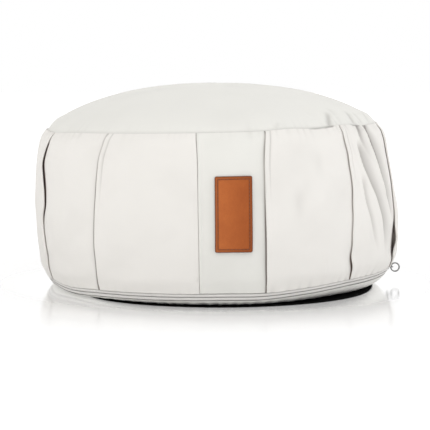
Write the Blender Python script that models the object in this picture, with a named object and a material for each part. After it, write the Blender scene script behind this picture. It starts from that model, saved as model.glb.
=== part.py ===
"""A round zafu meditation cushion with a knife-pleated side band, made piece by piece.

The filled body is one solid: the side band, drawn over its filling, with every pleat folded into
it and its crown under the top panel. Sewn to it are a domed top panel, a plain panel between two
of the pleats, the two lips that hide the zip, a base panel and a leather label. A metal slider
with a ring pull ends the zip.

Run it with blender --background --python part.py, or from Blender's text editor. Lengths are in
metres, +Z is up, the origin is the middle of the base on the surface it stands on, and -Y is the
front. Azimuths are in degrees, 0 at the front and growing towards +X.
"""

from collections import namedtuple

import bmesh
import bpy
import numpy as np
from mathutils import Matrix, Vector

# Heights, at the mean of the leaning sides
CROWN = 0.1945
HEAD_SEAM = 0.1526
FOOT_SEAM = 0.0128
ZIP_LINE = 0.0096
BASE_SEAM = 0.0062
# The right side stands this much higher than the mean
HEAD_TILT = 0.0034
FOOT_TILT = 0.0032
# How far the lines of the zip band lie inside the foot of the side band
FOOT_SEAM_IN = 0.0002
ZIP_LINE_IN = 0.0017
BASE_SEAM_IN = 0.0042
CONTACT_RADIUS = 0.148
CONTACT_LIFT = 0.024  # the base leaves the floor this much sooner at the front's right
CONTACT_LIFT_AT = 45.0
CONTACT_LIFT_SPREAD = 23.0
# Bends of the underside: share of the way out from the floor to the base seam, share of the seam's
# height, and how far in and up a layer's inner face is, as shares of its thickness
Bend = namedtuple("Bend", "out high inward upward")
UNDER_BENDS = (Bend(0.0, 0.0, 0.25, 1.0), Bend(0.46, 0.15, 0.25, 1.0), Bend(0.76, 0.48, 0.75, 0.75))
FLAT_RING = 0.5  # a ring half way in, so that the flat middle isn't one fan of slivers
# The crown's fall to the head seam: a round share and a steep shoulder at the seam
DOME_SHOULDER = 0.16
DOME_ROUND_POWER = 2.4
DOME_SHOULDER_POWER = 16
# Cloth
CLOTH = 0.0020
PANEL_CLOTH = 0.0014
REBATE = 0.0018  # from the head seam in to the edge of the rebate that the top panel lies in
FOLD = 0.0018  # a fold's edge, two layers thick
GAP = 0.0004
SEWN_GAP = 0.0003
STEP = 0.00015  # between the layers of a fold where it is sewn flat
LIP_SWELL = 0.0004
ZIP_END = 92.0
# Beside the zip's end, its stiff tape pushes the foot of the band out
FOOT_PUSH = 0.0026
FOOT_PUSH_AT = 80.0
FOOT_PUSH_SPREAD = 13.0

# The side's section: share of the band's height, mean radius, and how much further out the right is
Section = namedtuple("Section", "up radius lean")
SIDE = (
    Section(0.00, 0.1655, 0.0003),
    Section(0.08, 0.1702, 0.0007),
    Section(0.17, 0.1721, 0.0008),
    Section(0.26, 0.1736, 0.0006),
    Section(0.38, 0.1741, 0.0000),
    Section(0.50, 0.1730, -0.0018),
    Section(0.62, 0.1713, -0.0028),
    Section(0.74, 0.1695, -0.0040),
    Section(0.84, 0.1676, -0.0045),
    Section(0.92, 0.1656, -0.0045),
    Section(0.965, 0.1634, -0.0046),
    Section(1.00, 0.1598, -0.0052),
)

# Where the seams ride up or down: azimuth, rise and spread
Wave = namedtuple("Wave", "azimuth rise spread")
HEAD_WAVES = (Wave(-65, -0.0014, 8), Wave(24, 0.0014, 7), Wave(46, 0.0022, 8))
FOOT_WAVES = (
    Wave(-72, 0.0014, 8),
    Wave(-53, -0.0012, 9),
    Wave(14, -0.0010, 8),
    Wave(47, 0.0030, 17),
    Wave(76, 0.0032, 18),
)

# Lines down the band. A pleat has a tuck, the depth that its fold reaches over the cloth at its
# left, or at its right where the tuck is less than 0, and a mouth, its widest gap, at a share of the
# height. A crease has no tuck, and its mouth is its depth. The spread is the share of the height
# over which a mouth closes, and the plain columns are those between a line and the next.
Line = namedtuple("Line", "head upper lower foot tuck mouth widest spread plain")
LINE_HEIGHTS = (0.0, 0.4, 0.75, 1.0)
LINES = (
    Line(-66.5, -69.2, -66.9, -68.5, -0.009, 0.0022, 0.74, 0.24, 5),
    Line(-37.5, -37.6, -38.0, -38.5, 0.008, 0.0007, 0.60, 0.30, 5),
    Line(15.4, 14.0, 14.0, 15.0, 0.008, 0.0005, 0.50, 0.30, 5),
    Line(44.4, 45.2, 44.3, 45.9, 0.009, 0.0014, 0.12, 0.12, 3),
    Line(50.0, 51.4, 54.0, 62.5, 0.0, 0.0018, 0.50, 0.40, 1),
    Line(54.5, 56.0, 61.5, 66.0, 0.0, 0.0036, 0.66, 0.36, 1),
    Line(60.0, 64.0, 68.0, 69.5, 0.0, 0.0036, 0.72, 0.40, 1),
    Line(77.5, 79.5, 75.0, 73.5, 0.011, 0.0042, 0.22, 0.10, 4),
    Line(104.0, 106.0, 107.5, 108.0, 0.009, 0.0012, 0.45, 0.25, 5),
    Line(134.5, 134.0, 135.0, 136.0, 0.008, 0.0008, 0.50, 0.30, 5),
    Line(166.0, 164.5, 164.8, 166.0, 0.009, 0.0016, 0.30, 0.22, 5),
    Line(196.5, 197.5, 197.0, 195.5, 0.008, 0.0007, 0.60, 0.30, 5),
    Line(228.5, 227.5, 228.0, 229.5, 0.009, 0.0012, 0.50, 0.25, 5),
    Line(259.0, 261.5, 261.0, 260.0, 0.008, 0.0018, 0.65, 0.30, 4),
)
# The panel with the label runs from a plain seam to the tuck of the third line
PANEL_SEAM = (-6.9, -6.3, -5.7, -5.2)
PANEL_END_LINE = 2
PANEL_AFTER_LINE = 1
PANEL_ENDS = (0.004, 0.996)  # shares of the band's height, clear of the seams
DROP = 0.0009  # the cloth under a fold is pressed in this much
BULGE = 0.0010  # the cloth between two folds swells this much
NEAR_FOLD = 0.007  # how far from a fold's edge its neighbouring columns lie
LOOSE_MOUTH = 0.0003  # the gap that every fold has away from its seams
CREASE_ROUND = 0.00005  # keeps the bottom of a fold's gap from being a flat step

MID_RADIUS = 0.172  # turns short lengths round the band into angles
SLOPE_STEP = 0.004
BAND_ROWS = (0.0, 0.035, 0.10, 0.20, 0.32, 0.45, 0.58, 0.70, 0.81, 0.89, 0.95, 0.98, 1.0)
SHEET_COLUMNS = 72
CROWN_SHARES = (0.15, 0.38, 0.60, 0.78, 0.90, 0.965)  # of the top panel's radius, for the crown's rings

SHARP_EDGE = np.radians(40)
Finish = namedtuple("Finish", "colour roughness metallic")
BAND_CLOTH = Finish((0.84, 0.82, 0.78), 0.9, 0.0)
PANEL_TONE = Finish((0.82, 0.82, 0.78), 0.9, 0.0)
TOP_TONE = Finish((0.80, 0.79, 0.76), 0.9, 0.0)
LIP_CLOTH = Finish((0.76, 0.75, 0.73), 0.85, 0.0)
LEATHER = Finish((0.42, 0.15, 0.06), 0.5, 0.0)
STEEL = Finish((0.55, 0.55, 0.54), 0.3, 1.0)


def clear_scene():
    for obj in list(bpy.data.objects):
        bpy.data.objects.remove(obj, do_unlink=True)


def material(name, finish):
    mat = bpy.data.materials.new(name)
    mat.use_nodes = True
    shader = mat.node_tree.nodes["Principled BSDF"]
    shader.inputs["Base Color"].default_value = (*finish.colour, 1.0)
    shader.inputs["Roughness"].default_value = finish.roughness
    shader.inputs["Metallic"].default_value = finish.metallic
    return mat


def add_object(name, mesh, finish):
    mesh.materials.append(material(name + "_finish", finish))
    mesh.shade_smooth()
    mesh.set_sharp_from_angle(angle=SHARP_EDGE)
    obj = bpy.data.objects.new(name, mesh)
    bpy.context.collection.objects.link(obj)
    return obj


def through(at, places, values):
    """A smooth curve through (places, values): cubic pieces with the chords' mean slopes."""
    places, values = np.asarray(places, float), np.asarray(values, float)
    slopes = np.gradient(values, places)
    i = np.clip(np.searchsorted(places, at) - 1, 0, len(places) - 2)
    width = places[i + 1] - places[i]
    f = (at - places[i]) / width
    return (
        (1 + 2 * f) * (1 - f) ** 2 * values[i]
        + f * (1 - f) ** 2 * width * slopes[i]
        + f * f * (3 - 2 * f) * values[i + 1]
        - f * f * (1 - f) * width * slopes[i + 1]
    )


def ease(x):
    """0 below 0 and 1 above 1, with a smooth rise between."""
    x = np.clip(x, 0.0, 1.0)
    return x * x * (3 - 2 * x)


def side_radius(azimuth, up):
    """The band's radius before its folds: the section, the lean to the right, and the push of the zip's end."""
    up = np.asarray(up, float)
    rows = [list(column) for column in zip(*SIDE)]
    mean = through(up, rows[0], rows[1])
    lean = through(up, rows[0], rows[2])
    push = FOOT_PUSH * np.exp(-(((azimuth - FOOT_PUSH_AT) / FOOT_PUSH_SPREAD) ** 2)) * ease(1 - up / 0.3)
    return mean + lean * np.sin(np.radians(azimuth)) + push


def seam_height(level, tilt, waves, azimuth):
    """A seam's height: its level, its rise to the right, and its waves."""
    turned = (np.asarray(azimuth, float) + 180) % 360 - 180
    ride = sum(wave.rise * np.exp(-(((turned - wave.azimuth) / wave.spread) ** 2)) for wave in waves)
    return level + tilt * np.sin(np.radians(turned)) + ride


def head_height(azimuth):
    return seam_height(HEAD_SEAM, HEAD_TILT, HEAD_WAVES, azimuth)


def foot_height(azimuth, level=FOOT_SEAM):
    """The height of a line of the zip band, given by its level at the middle."""
    return seam_height(level, FOOT_TILT, FOOT_WAVES, azimuth)


def band_height(azimuth, up):
    """Straight from the foot seam to the head seam."""
    return foot_height(azimuth) + (head_height(azimuth) - foot_height(azimuth)) * up


def under_radius(azimuth, share):
    """On the underside, from where the base leaves the floor, 0, to the base seam, 1."""
    turned = (np.asarray(azimuth, float) + 180) % 360 - 180
    lift = CONTACT_LIFT * np.exp(-(((turned - CONTACT_LIFT_AT) / CONTACT_LIFT_SPREAD) ** 2))
    seam = side_radius(azimuth, 0.0) - BASE_SEAM_IN
    return (CONTACT_RADIUS - lift) * (1 - share) + seam * share


def underside(azimuth, inset):
    """Rings of the underside from the flat middle to its last bend, an inset inside its face."""
    seam = foot_height(azimuth, BASE_SEAM) - SEWN_GAP
    rings = [point(azimuth, FLAT_RING * under_radius(azimuth, 0.0), inset)]
    for bend in UNDER_BENDS:
        radius = under_radius(azimuth, bend.out) - bend.inward * inset
        rings.append(point(azimuth, radius, bend.high * seam + bend.upward * inset))
    return rings


def point(azimuth, radius, z):
    """Points from azimuths in degrees, radii and heights."""
    a = np.radians(azimuth)
    shape = np.broadcast(a, radius, z).shape
    return np.stack(
        [np.broadcast_to(part, shape) for part in (radius * np.sin(a), -radius * np.cos(a), z)], axis=-1
    )


def line_azimuth(line, up):
    return through(up, LINE_HEIGHTS, (line.foot, line.lower, line.upper, line.head))


def loosened(up):
    """How freely a fold hangs: 0 at both seams, 1 away from them."""
    return ease(up / 0.12) * ease((1 - up) / 0.12)


def unpressed(up):
    """0 where a fold is sewn flat at a seam, 1 from just beyond it."""
    return ease(up / 0.05) * ease((1 - up) / 0.035)


def pressed_in(up):
    """How far the cloth under a fold lies inside the section."""
    return DROP * (0.3 + 0.7 * loosened(up))


def tuck_reach(line, up):
    """How far a fold reaches over the cloth beside it: it is shorter near the seams."""
    return abs(line.tuck) * (0.35 + 0.65 * loosened(up))


def fold_columns(line, up, recess):
    """(azimuth, out) of the columns across one pleat, left to right.

    The cloth at the left dips by DROP and runs on under the fold for the length of the tuck, turns
    back out to the fold's round edge, and goes on to the right on top. At both seams the fold is
    sewn flat, and its layers lie side by side in steps. A recess is cut under the cloth at the left.
    A tuck of less than 0 mirrors all this.
    """
    opened = unpressed(up)
    widening = line.mouth * np.exp(-(((up - line.widest) / line.spread) ** 2))
    mouth = SEWN_GAP + (LOOSE_MOUTH + widening) * loosened(up)
    drop = pressed_in(up)
    tuck = tuck_reach(line, up)
    end = np.maximum(SEWN_GAP, 0.4 * mouth)
    outs = (
        -0.6 * drop - recess,
        -drop - recess,
        -drop + CREASE_ROUND - recess,
        -drop + end,
        -drop + CREASE_ROUND + mouth,
        -drop + mouth + FOLD / 2,
        -drop + mouth + FOLD,
        0.75 * (mouth - drop + FOLD),
    )
    folded = (-NEAR_FOLD, 0.0, tuck, tuck, 0.6 * FOLD, 0.0, 0.6 * FOLD, NEAR_FOLD)
    flat = (-NEAR_FOLD, -STEP, 0.0, STEP, 2 * STEP, 3 * STEP, 4 * STEP, NEAR_FOLD)
    centre = line_azimuth(line, up)
    radius = side_radius(centre, up)
    way = 1 if line.tuck > 0 else -1
    along = [way * (f * opened + s * (1 - opened)) for f, s in zip(folded, flat)]
    return [(centre + np.degrees(a / radius), out) for a, out in zip(along, outs)][::way]


def swelling(up):
    """How far the cloth between two folds swells out at its middle."""
    return BULGE * ease(up / 0.1) * ease((1 - up) / 0.08)


def crease_depth(line, up):
    depth = line.mouth * np.exp(-(((up - line.widest) / line.spread) ** 2))
    return depth * ease(up / 0.25) * ease((1 - up) / 0.04)


def plain_columns(line, following, count, up, recess=0.0):
    """(azimuth, out) of the columns between two lines: what a fold lifts dies away beside it."""
    near = np.degrees(NEAR_FOLD / side_radius(line_azimuth(line, up), up))
    start = line_azimuth(line, up) + (near if line.tuck else 0.0)
    stop = line_azimuth(following, up) - (near if following.tuck else 0.0)
    columns = []
    for share in np.arange(1, count + 1) / (count + 1):
        beside = (1 - share) ** 3 * (line.tuck > 0) + share**3 * (following.tuck < 0)
        lift = 0.75 * (FOLD - DROP) * beside
        swell = swelling(up) * np.sin(np.pi * share)
        crease = following if line.tuck else line
        crest = 0.0 if line.tuck and following.tuck else 0.4 * crease_depth(crease, up)
        columns.append((start + (stop - start) * share, lift + swell + crest - recess))
    return columns


def following_line(index):
    if index + 1 < len(LINES):
        return LINES[index + 1]
    first = LINES[0]
    around = {name: getattr(first, name) + 360 for name in ("head", "upper", "lower", "foot")}
    return first._replace(**around)


def panel_seam_azimuth(up):
    return through(up, LINE_HEIGHTS, PANEL_SEAM[::-1])


def panel_recess():
    return PANEL_CLOTH + GAP


def band_columns(up):
    """Azimuths and outward offsets of every column of the band, arrays of (rows, columns)."""
    columns = []
    for index, line in enumerate(LINES):
        following = following_line(index)
        if line.tuck:
            columns += fold_columns(line, up, panel_recess() if index == PANEL_END_LINE else 0.0)
        else:
            columns.append((line_azimuth(line, up), -crease_depth(line, up)))
        if index == PANEL_AFTER_LINE:
            seam = Line(*PANEL_SEAM, 0.0, 0.0, 0.5, 0.5, 0)
            columns += plain_columns(line, seam, line.plain, up)
            half = np.degrees(STEP / side_radius(panel_seam_azimuth(up), up))
            columns.append((panel_seam_azimuth(up) - half, 0.0 * up))
            columns.append((panel_seam_azimuth(up) + half, 0.0 * up - panel_recess()))
            columns += plain_columns(seam, following, 3, up, panel_recess())
        else:
            columns += plain_columns(line, following, line.plain, up)
    azimuths = np.stack([np.broadcast_to(a, up.shape) for a, _ in columns], axis=1)
    outs = np.stack([np.broadcast_to(out, up.shape) for _, out in columns], axis=1)
    return azimuths, outs


def band_slope(azimuth, up):
    """The outward direction's share along the radius and up, from the section's slope."""
    low, high = np.clip(up - SLOPE_STEP, 0, 1), np.clip(up + SLOPE_STEP, 0, 1)
    rise = band_height(azimuth, high) - band_height(azimuth, low)
    run = side_radius(azimuth, high) - side_radius(azimuth, low)
    length = np.hypot(rise, run)
    return rise / length, -run / length


def band_point(azimuth, up, out):
    """A point of the band, a distance out from its section."""
    across, raised = band_slope(azimuth, up)
    hold = ease(up / 0.03) * ease((1 - up) / 0.02)
    raised = raised * hold
    return point(azimuth, side_radius(azimuth, up) + out * across, band_height(azimuth, up) + out * raised)


def dome_height(azimuth, share):
    """The top panel's height at a share of the head seam's radius: flat at the middle, steep at the seam."""
    fall = (1 - DOME_SHOULDER) * share**DOME_ROUND_POWER + DOME_SHOULDER * share**DOME_SHOULDER_POWER
    return CROWN - (CROWN - head_height(azimuth)) * fall


def rings_mesh(name, rings, closed_loop=False):
    """A closed mesh from rings of points in order: quads between rings, and a fan at either end.

    A closed loop of rings, such as a strip's section, has no ends.
    """
    bm = bmesh.new()
    loops = [[bm.verts.new(co) for co in ring] for ring in rings]
    pairs = list(zip(loops, loops[1:] + loops[:1])) if closed_loop else list(zip(loops, loops[1:]))
    for low, high in pairs:
        for i in range(len(low)):
            j = (i + 1) % len(low)
            bm.faces.new((low[i], low[j], high[j], high[i]))
    if not closed_loop:
        for loop, order in ((loops[0], -1), (loops[-1], 1)):
            centre = bm.verts.new(np.mean([v.co for v in loop], axis=0) * (0, 0, 1))
            ring = loop[::order]
            for i in range(len(ring)):
                bm.faces.new((ring[i], ring[(i + 1) % len(ring)], centre))
    bmesh.ops.recalc_face_normals(bm, faces=bm.faces)
    mesh = bpy.data.meshes.new(name)
    bm.to_mesh(mesh)
    bm.free()
    return mesh


def filled_body():
    """Base, recess behind the zip's lips, pleated band, rebate for the top panel, and the crown under it."""
    up = np.array(BAND_ROWS)
    azimuths, outs = band_columns(up)
    band = [band_point(azimuths[row], up[row], outs[row]) for row in range(len(up))]
    foot, head = azimuths[0], azimuths[-1]
    wall = CLOTH + GAP
    recess = [
        point(foot, under_radius(foot, 1.0) - wall - GAP, foot_height(foot, BASE_SEAM)),
        point(foot, side_radius(foot, 0.0) - FOOT_SEAM_IN - wall, foot_height(foot)),
    ]
    rebate = side_radius(head, 1.0) - REBATE
    over = [
        point(head, rebate, head_height(head) - SEWN_GAP),
        point(head, rebate, dome_height(head, 1.0) - CLOTH - 2 * GAP),
    ]
    for share in CROWN_SHARES[::-1]:
        over.append(point(head, share * (rebate - GAP), dome_height(head, share) - CLOTH - 1.75 * GAP))
    rings = underside(foot, wall + GAP / 2) + recess + band + over
    return add_object("filled_body", rings_mesh("filled_body", rings), BAND_CLOTH)


def top_panel():
    """A domed round sheet, its rim just inside the head seam."""
    azimuth = np.arange(SHEET_COLUMNS) * 360 / SHEET_COLUMNS
    rim = side_radius(azimuth, 1.0) - REBATE - GAP
    shares = (*CROWN_SHARES, 1.0)
    outer = [point(azimuth, share * rim, dome_height(azimuth, share)) for share in shares]
    inner = [point(azimuth, share * rim, dome_height(azimuth, share) - CLOTH) for share in shares]
    return add_object("top_panel", rings_mesh("top_panel", outer + inner[::-1]), TOP_TONE)


def base_panel():
    """A round sheet, flat where it stands and turned up to the base seam at its rim."""
    azimuth = np.arange(SHEET_COLUMNS) * 360 / SHEET_COLUMNS
    seam = foot_height(azimuth, BASE_SEAM) - SEWN_GAP
    rim = under_radius(azimuth, 1.0) - SEWN_GAP
    edge = [point(azimuth, rim, seam), point(azimuth, rim - CLOTH, seam)]
    rings = underside(azimuth, 0.0) + edge + underside(azimuth, CLOTH)[::-1]
    return add_object("base_panel", rings_mesh("base_panel", rings), TOP_TONE)


def zip_lip(name, top, top_in, bottom, bottom_in):
    """A folded strip of cloth right round the foot: it swells a little between its two edges."""
    azimuth = np.arange(SHEET_COLUMNS) * 360 / SHEET_COLUMNS
    radius = side_radius(azimuth, 0.0)
    high = foot_height(azimuth, top) - SEWN_GAP / 2
    low = foot_height(azimuth, bottom) + SEWN_GAP / 2
    section = [
        point(azimuth, radius - top_in, high),
        point(azimuth, radius - (top_in + bottom_in) / 2 + LIP_SWELL, (high + low) / 2),
        point(azimuth, radius - bottom_in, low),
        point(azimuth, radius - bottom_in - CLOTH, low),
        point(azimuth, radius - top_in - CLOTH, high),
    ]
    return add_object(name, rings_mesh(name, section, closed_loop=True), LIP_CLOTH)


def slab_mesh(name, outer, inner):
    """A closed sheet from two grids of points, its outer and inner faces, with walls all round."""
    rows, columns = outer.shape[:2]
    bm = bmesh.new()
    faces = [[[bm.verts.new(co) for co in row] for row in grid] for grid in (outer, inner)]
    for grid in faces:
        for r in range(rows - 1):
            for c in range(columns - 1):
                bm.faces.new((grid[r][c], grid[r][c + 1], grid[r + 1][c + 1], grid[r + 1][c]))
    around = (
        [(0, c) for c in range(columns)]
        + [(r, columns - 1) for r in range(1, rows)]
        + [(rows - 1, c) for c in range(columns - 2, -1, -1)]
        + [(r, 0) for r in range(rows - 2, 0, -1)]
    )
    front, back = faces
    for (r, c), (s, d) in zip(around, around[1:] + around[:1]):
        bm.faces.new((front[r][c], front[s][d], back[s][d], back[r][c]))
    bmesh.ops.recalc_face_normals(bm, faces=bm.faces)
    mesh = bpy.data.meshes.new(name)
    bm.to_mesh(mesh)
    bm.free()
    return mesh


def panel_grid(depth):
    """Points of the label's panel, from its seam to under the fold at its right, a depth inside its face."""
    up = np.array(BAND_ROWS)
    up[0], up[-1] = PANEL_ENDS
    line = LINES[PANEL_END_LINE]
    start = panel_seam_azimuth(up) + np.degrees(SEWN_GAP / MID_RADIUS)
    opened = unpressed(up)
    under = (tuck_reach(line, up) - GAP) * opened - 2 * STEP * (1 - opened)
    stop = line_azimuth(line, up) + np.degrees(under / MID_RADIUS)
    near = line_azimuth(line, up) - np.degrees(NEAR_FOLD / MID_RADIUS)
    mouth = line_azimuth(line, up) - np.degrees(FOLD / 2 / MID_RADIUS)
    drop = pressed_in(up)
    swell = swelling(up)
    shares = np.arange(4) / 4
    columns = [(start + (near - start) * share, swell * np.sin(np.pi * share)) for share in shares]
    columns += [(near, -0.6 * drop), (mouth, -drop), (stop, -drop)]
    return np.stack([band_point(azimuth, up, out - depth) for azimuth, out in columns], axis=1)


def label_panel():
    return add_object(
        "label_panel", slab_mesh("label_panel", panel_grid(0.0), panel_grid(PANEL_CLOTH)), PANEL_TONE
    )


LABEL_WIDTH = 0.0322
LABEL_HEIGHT = 0.0650
LABEL_THICKNESS = 0.0018
LABEL_AZIMUTH = 4.65
LABEL_MIDDLE = 0.0847
LABEL_CORNER = 0.0016


def label_grid(out):
    """The label's face: across and up on a bent rectangle whose corners are rounded."""
    side, end = 1 - 2 * LABEL_CORNER / LABEL_WIDTH, 1 - 2 * LABEL_CORNER / LABEL_HEIGHT
    across = np.array([-1, -side, -0.5, 0, 0.5, side, 1])
    along = np.array([-1, -end, -0.5, 0, 0.5, end, 1])
    x, y = np.meshgrid(across * LABEL_WIDTH / 2, along * LABEL_HEIGHT / 2)
    corner = np.outer(np.abs(along) == 1, np.abs(across) == 1)
    pull = LABEL_CORNER * (1 - np.sqrt(0.5)) * corner
    x, y = x - np.sign(x) * pull, y - np.sign(y) * pull
    up = (LABEL_MIDDLE + y - FOOT_SEAM) / (HEAD_SEAM - FOOT_SEAM)
    azimuth = LABEL_AZIMUTH + np.degrees(x / side_radius(LABEL_AZIMUTH, up))
    return band_point(azimuth, up, out)


def leather_label():
    back = BULGE + GAP
    mesh = slab_mesh("leather_label", label_grid(back + LABEL_THICKNESS), label_grid(back))
    return add_object("leather_label", mesh, LEATHER)


SLIDER_LENGTH = 0.0095
SLIDER_HEIGHT = 0.0054
SLIDER_STAND = 0.0010  # from the zip line out to the slider's axes, clear of the upper lip
SLIDER_NOD = 7.0  # the slider faces down this much
SLIDER_THICKNESS = 0.0022
BRIDGE_WIRE = 0.0012
BRIDGE_REACH = 0.0044
BRIDGE_SPAN = 0.0060
BRIDGE_ROOT = 0.0004  # how far its ends sink into the plate
PLATE_BEVEL = 0.0007
RING_RADIUS = 0.0041
RING_WIRE = 0.0007
RING_CENTRE_OUT = 0.0077  # from the zip line to the middle of the ring
RING_TURNS = 24
WIRE_SIDES = 8


def zip_frame():
    """Place and axes of the slider: outward and a little down, along the zip, and up."""
    level = Vector(point(ZIP_END, 1.0, 0.0))
    along = Vector((0, 0, 1)).cross(level)
    outward = Matrix.Rotation(np.radians(SLIDER_NOD), 3, along) @ level
    upward = outward.cross(along)
    radius = side_radius(ZIP_END, 0.0) - ZIP_LINE_IN + SLIDER_STAND
    origin = level * radius + Vector((0, 0, foot_height(ZIP_END, ZIP_LINE)))
    axes = Matrix(((*outward, 0), (*along, 0), (*upward, 0), (0, 0, 0, 1))).transposed()
    return Matrix.Translation(origin) @ axes


def zip_slider():
    """A rounded plate on the two lips, with an arch on its face that holds the ring."""
    bm = bmesh.new()
    bmesh.ops.create_cube(bm, size=1.0)
    bmesh.ops.scale(bm, vec=(SLIDER_THICKNESS, SLIDER_LENGTH, SLIDER_HEIGHT), verts=bm.verts)
    bmesh.ops.bevel(bm, geom=bm.edges[:], offset=PLATE_BEVEL, segments=1, affect="EDGES")
    bmesh.ops.translate(bm, vec=(GAP + SLIDER_THICKNESS / 2, 0, 0), verts=bm.verts)
    plate_mesh = bpy.data.meshes.new("zip_slider")
    bm.to_mesh(plate_mesh)
    bm.free()
    slider = add_object("zip_slider", plate_mesh, STEEL)
    curve = bpy.data.curves.new("slider_arch", "CURVE")
    curve.dimensions = "3D"
    curve.bevel_depth = BRIDGE_WIRE / 2
    curve.bevel_resolution = 2
    curve.use_fill_caps = True
    spline = curve.splines.new("POLY")
    turns = np.linspace(0, np.pi, 9)
    spline.points.add(len(turns) - 1)
    root = GAP + SLIDER_THICKNESS - BRIDGE_ROOT
    for spot, turn in zip(spline.points, turns):
        spot.co = (root + BRIDGE_REACH * np.sin(turn), -BRIDGE_SPAN / 2 * np.cos(turn), 0, 1)
    guide = bpy.data.objects.new("slider_arch", curve)
    bpy.context.collection.objects.link(guide)
    bpy.context.view_layer.update()
    arch = bpy.data.objects.new(
        "slider_arch_wire",
        bpy.data.meshes.new_from_object(guide.evaluated_get(bpy.context.evaluated_depsgraph_get())),
    )
    bpy.context.collection.objects.link(arch)
    bpy.data.objects.remove(guide, do_unlink=True)
    arch.hide_render = True
    arch.display_type = "WIRE"
    union = slider.modifiers.new("arch", "BOOLEAN")
    union.operation = "UNION"
    union.object = arch
    for obj in (slider, arch):
        obj.matrix_world = zip_frame()
    return slider


def ring_pull():
    """A round wire ring through the slider's arch, standing out from it."""
    turns = np.arange(RING_TURNS) * 2 * np.pi / RING_TURNS
    sides = np.arange(WIRE_SIDES) * 2 * np.pi / WIRE_SIDES
    rings = []
    for side in sides:
        radius = RING_RADIUS + RING_WIRE * np.cos(side)
        rings.append(
            np.stack(
                [
                    RING_CENTRE_OUT + radius * np.cos(turns),
                    np.full_like(turns, RING_WIRE * np.sin(side)),
                    radius * np.sin(turns),
                ],
                axis=-1,
            )
        )
    ring = add_object("ring_pull", rings_mesh("ring_pull", rings, closed_loop=True), STEEL)
    ring.matrix_world = zip_frame()
    return ring


clear_scene()
filled_body()
top_panel()
label_panel()
zip_lip("zip_lip_upper", FOOT_SEAM, FOOT_SEAM_IN, ZIP_LINE, ZIP_LINE_IN)
zip_lip("zip_lip_lower", ZIP_LINE, ZIP_LINE_IN, BASE_SEAM, BASE_SEAM_IN)
base_panel()
leather_label()
zip_slider()
ring_pull()
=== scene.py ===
# %% [markdown]
# # A round meditation cushion, dressed piece by piece
#
# The real cushion is sewn from a long pleated side band, a plain panel with a leather label, two
# round panels, and two folded lips that hide a zip. Loose hulls fill it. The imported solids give
# every size and place. Each cell below makes one piece again as a fine surface, worked out with
# numpy, and the finishes, the floor and the light come last.

# %% Load the frame
from collections import namedtuple

import bpy
import numpy as np
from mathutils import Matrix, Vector


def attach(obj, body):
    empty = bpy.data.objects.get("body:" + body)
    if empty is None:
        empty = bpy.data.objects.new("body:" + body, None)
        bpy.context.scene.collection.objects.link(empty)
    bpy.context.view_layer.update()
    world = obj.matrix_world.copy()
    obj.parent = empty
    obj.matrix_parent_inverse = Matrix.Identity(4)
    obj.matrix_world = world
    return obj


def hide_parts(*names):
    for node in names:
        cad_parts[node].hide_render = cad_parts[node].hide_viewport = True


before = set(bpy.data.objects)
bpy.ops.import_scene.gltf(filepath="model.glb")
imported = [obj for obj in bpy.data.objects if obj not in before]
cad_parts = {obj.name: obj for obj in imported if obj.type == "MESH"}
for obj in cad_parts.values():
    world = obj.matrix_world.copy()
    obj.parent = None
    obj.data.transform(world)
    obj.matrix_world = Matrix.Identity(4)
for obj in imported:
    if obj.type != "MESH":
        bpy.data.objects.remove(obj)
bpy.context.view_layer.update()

MM = 0.001

# %% [markdown]
# ## Smooth curves and soft steps
#
# Nearly every form here is a curve through a few sizes. One function draws such a curve, for
# single numbers or for whole rows of them at once, and another makes a soft step.


# %% Curves and steps
def through(at, places, values):
    """A smooth curve through (places, values): cubic pieces that keep the chords' mean slopes."""
    places, values = np.asarray(places, float), np.asarray(values, float)
    slopes = np.gradient(values, places, axis=0)
    at = np.asarray(at, float)
    i = np.clip(np.searchsorted(places, at) - 1, 0, len(places) - 2)
    width, f = places[i + 1] - places[i], (at - places[i]) / (places[i + 1] - places[i])
    spare = (1,) * (values.ndim - 1)
    width, f = width.reshape(at.shape + spare), f.reshape(at.shape + spare)
    return (
        (1 + 2 * f) * (1 - f) ** 2 * values[i]
        + f * (1 - f) ** 2 * width * slopes[i]
        + f * f * (3 - 2 * f) * values[i + 1]
        - f * f * (1 - f) * width * slopes[i + 1]
    )


def ease(x):
    """0 below 0 and 1 above 1, with a smooth rise between: 3x^2 - 2x^3."""
    x = np.clip(x, 0.0, 1.0)
    return x * x * (3 - 2 * x)


def hill(x, width):
    """A round hill at 0: e to the minus (x / width) squared."""
    return np.exp(-((x / width) ** 2))


def from_seams(up, low, high):
    """0 at both seams of the band, 1 from a share of its height beyond each."""
    return ease(up / low) * ease((1 - up) / high)


def wrapped(azimuth):
    """The same azimuths between -180 and 180 degrees."""
    return (azimuth + 180) % 360 - 180


def all_round(count):
    """Azimuths once round, in even steps."""
    return np.arange(count) * 360 / count


def wander(turns, high, seed, waves, most):
    """Gentle unevenness that closes on itself: a sum of cosine waves, each with a whole number of
    turns round the cushion, a slope up the side and a phase drawn from the seed."""
    draw = np.random.default_rng(seed)
    total = 0.0
    for _ in range(waves):
        around, along = draw.integers(2, most), draw.uniform(-most, most)
        phase = draw.uniform(0, 2 * np.pi)
        total = total + np.cos(2 * np.pi * (around * turns + 0.16 * along * high) + phase)
    return total / np.sqrt(waves)


# %% [markdown]
# ## The cushion's sizes
#
# These are the solids' sizes, so that the fine surfaces lie where the solids do. A few were fitted
# again afterwards: the crown, the contact with the floor, the label's place and the ring's. Heights
# are means, because the cushion leans a little: its seams ride higher at its right.

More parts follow.
